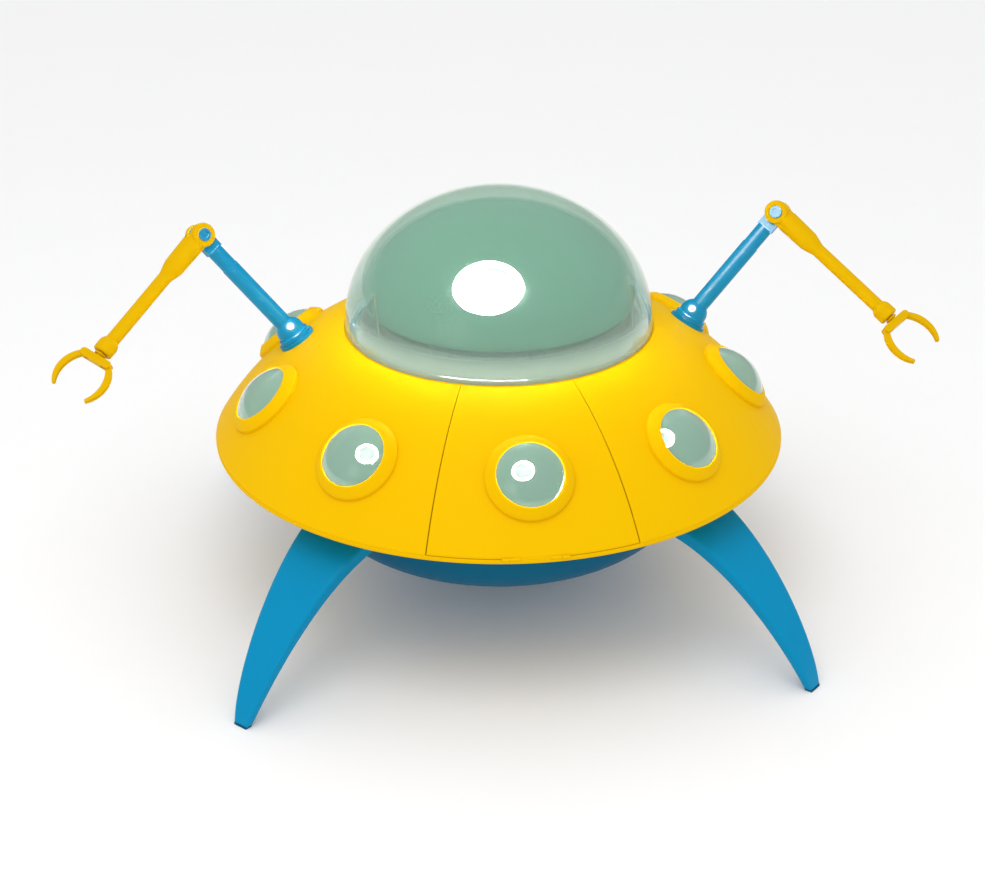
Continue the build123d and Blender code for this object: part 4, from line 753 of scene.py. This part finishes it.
def legPoints(azimuth):
    # a rounded bar carried along the blade's outer curve; its width and thickness fall towards the toe,
    # and its section is a superellipse, x = a sign(cos)|cos|^n and y = b sign(sin)|sin|^n
    share = np.linspace(0, 1, legs["sections"])
    line = bezier(*legs["path"], share)
    ahead = bezier(*legs["path"], np.minimum(share + 1e-3, 1)) - bezier(*legs["path"], np.maximum(share - 1e-3, 0))
    ahead /= np.linalg.norm(ahead, axis=1, keepdims=True)
    root, mid, toe = legs["halfWidths"]
    half = root * (1 - share) ** 2 + 2 * mid * share * (1 - share) + toe * share ** 2
    thick = legs["rootThick"] * (1 - share) + legs["toeThick"] * share
    under = np.stack([ahead[:, 1], -ahead[:, 0]], axis=-1)
    middle = line + under * thick[:, None] / 2
    t = np.linspace(0, 2 * math.pi, legs["around"], endpoint=False)
    wide = half[:, None] * power(np.cos(t), legs["edge"])[None, :]
    deep = -(thick / 2)[:, None] * power(np.sin(t), legs["edge"])[None, :]
    r = middle[:, 0:1] + under[:, 0:1] * deep
    z = middle[:, 1:2] + under[:, 1:2] * deep
    z = np.maximum(z, legs["padHeight"])
    turn = math.radians(azimuth)
    out = np.array([math.sin(turn), -math.cos(turn), 0.0])
    side = np.array([math.cos(turn), math.sin(turn), 0.0])
    points = r[..., None] * out + wide[..., None] * side + z[..., None] * np.array([0, 0, 1.0])
    tab = points[0] - out * (legs["path"][0][0] - legs["tabRadius"])
    return np.concatenate([tab[None], points], axis=0)


for place, azimuth in legs["azimuths"].items():
    points = legPoints(azimuth)
    rows, columns = points.shape[:2]
    centres = np.stack([points[0].mean(0), points[-1].mean(0)])
    k = np.arange(columns)
    ahead, last = (k + 1) % columns, (rows - 1) * columns
    rootCap = np.stack([np.full(columns, rows * columns), ahead, k, k], axis=-1)
    toeCap = np.stack([np.full(columns, rows * columns + 1), last + k, last + ahead, last + ahead], axis=-1)
    faces = np.concatenate([gridFaces(rows, columns, False, True), rootCap, toeCap])
    flat = np.concatenate([points.reshape(-1, 3), centres])
    addPiece("leg_blade_" + place, flat, faces, "base", "blue_gloss", ["leg_" + place], 45.0, 1e-5)
print("legs made")


seat = {
    "cushionCrown": 0.012, "cushionTrim": (0.985, 0.985, 0.995), "backCrown": 0.010, "backTrim": (0.90, 0.97, 0.985),
    "channels": 4, "channelReach": 0.66, "channelDepth": 0.006, "channelWidth": 0.006, "pullIn": 0.022,
    "sideCorner": 0.30, "faceCorner": 0.42, "fill": 0.85, "rows": 90, "columns": 200,
}


def crownedPad(name, node, thin, facing, crown, trim):
    # a superellipsoid: x = a c(f)^e c(t)^n, y = b c(f)^e s(t)^n, z = c s(f)^e, with c and s the signed
    # powers of cosine and sine; sides pull in by cos(2t) squared between corners, the top bulges by
    # (1 - x^2)(1 - y^2), and each sewn channel sinks it by a Gaussian across its line
    low, high = (np.array(v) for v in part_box(node))
    middle, size = (low + high) / 2, (high - low) / 2
    f = np.linspace(-math.pi / 2, math.pi / 2, seat["rows"])[:, None]
    t = np.linspace(0, 2 * math.pi, seat["columns"], endpoint=False)[None, :]
    pull = 1 - seat["pullIn"] * np.cos(2 * t) ** 2
    corner = seat["sideCorner"]
    x = power(np.cos(f), corner) * power(np.cos(t), corner) * pull
    y = power(np.cos(f), corner) * power(np.sin(t), corner) * pull
    z = power(np.sin(f), seat["faceCorner"]) * np.ones_like(t)
    wide = [k for k in range(3) if k != thin]           # the two axes that the thickness isn't
    size = size * np.array(trim)
    flat = np.zeros(x.shape + (3,))
    flat[..., wide[0]] = x * size[wide[0]]
    flat[..., wide[1]] = y * size[wide[1]]
    front = np.clip(z * np.sign(facing), 0, 1)
    bulge = np.clip(1 - x ** 2, 0, 1) * np.clip(1 - y ** 2, 0, 1) * crown
    sink = np.zeros_like(x)
    for line in np.linspace(-seat["channelReach"], seat["channelReach"], seat["channels"]):
        sink = sink + np.exp(-(((x - line) * size[wide[0]]) / seat["channelWidth"]) ** 2) * seat["channelDepth"]
    rise = bulge - sink * np.clip(1 - np.abs(y) ** 6, 0, 1)
    flat[..., thin] = z * (size[thin] - crown) + np.sign(facing) * front * rise
    points = flat + middle
    rows, columns = x.shape
    piece = addPiece(name, points, gridFaces(rows, columns, False, True), "saucer", "seat_vinyl", [node], 60.0, 2e-5)
    return piece


crownedPad("seat_cushion_pad", "seat_cushion", 2, 1.0, seat["cushionCrown"], seat["cushionTrim"])
crownedPad("seat_back_pad", "seat_back", 1, -1.0, seat["backCrown"], seat["backTrim"])
print("seat made")

shinyArms = [n for n in cad if n.startswith(("upper_arm", "shoulder_cup", "elbow_pin"))]
shinyDomes = ["canopy_bubble", "canopy_inner_bubble", "canopy_foot_ring", "porthole_domes", "hatch_porthole_dome"]
for shiny in shinyArms + shinyDomes:
    glossyGroup.objects.link(bpy.data.objects[shiny])
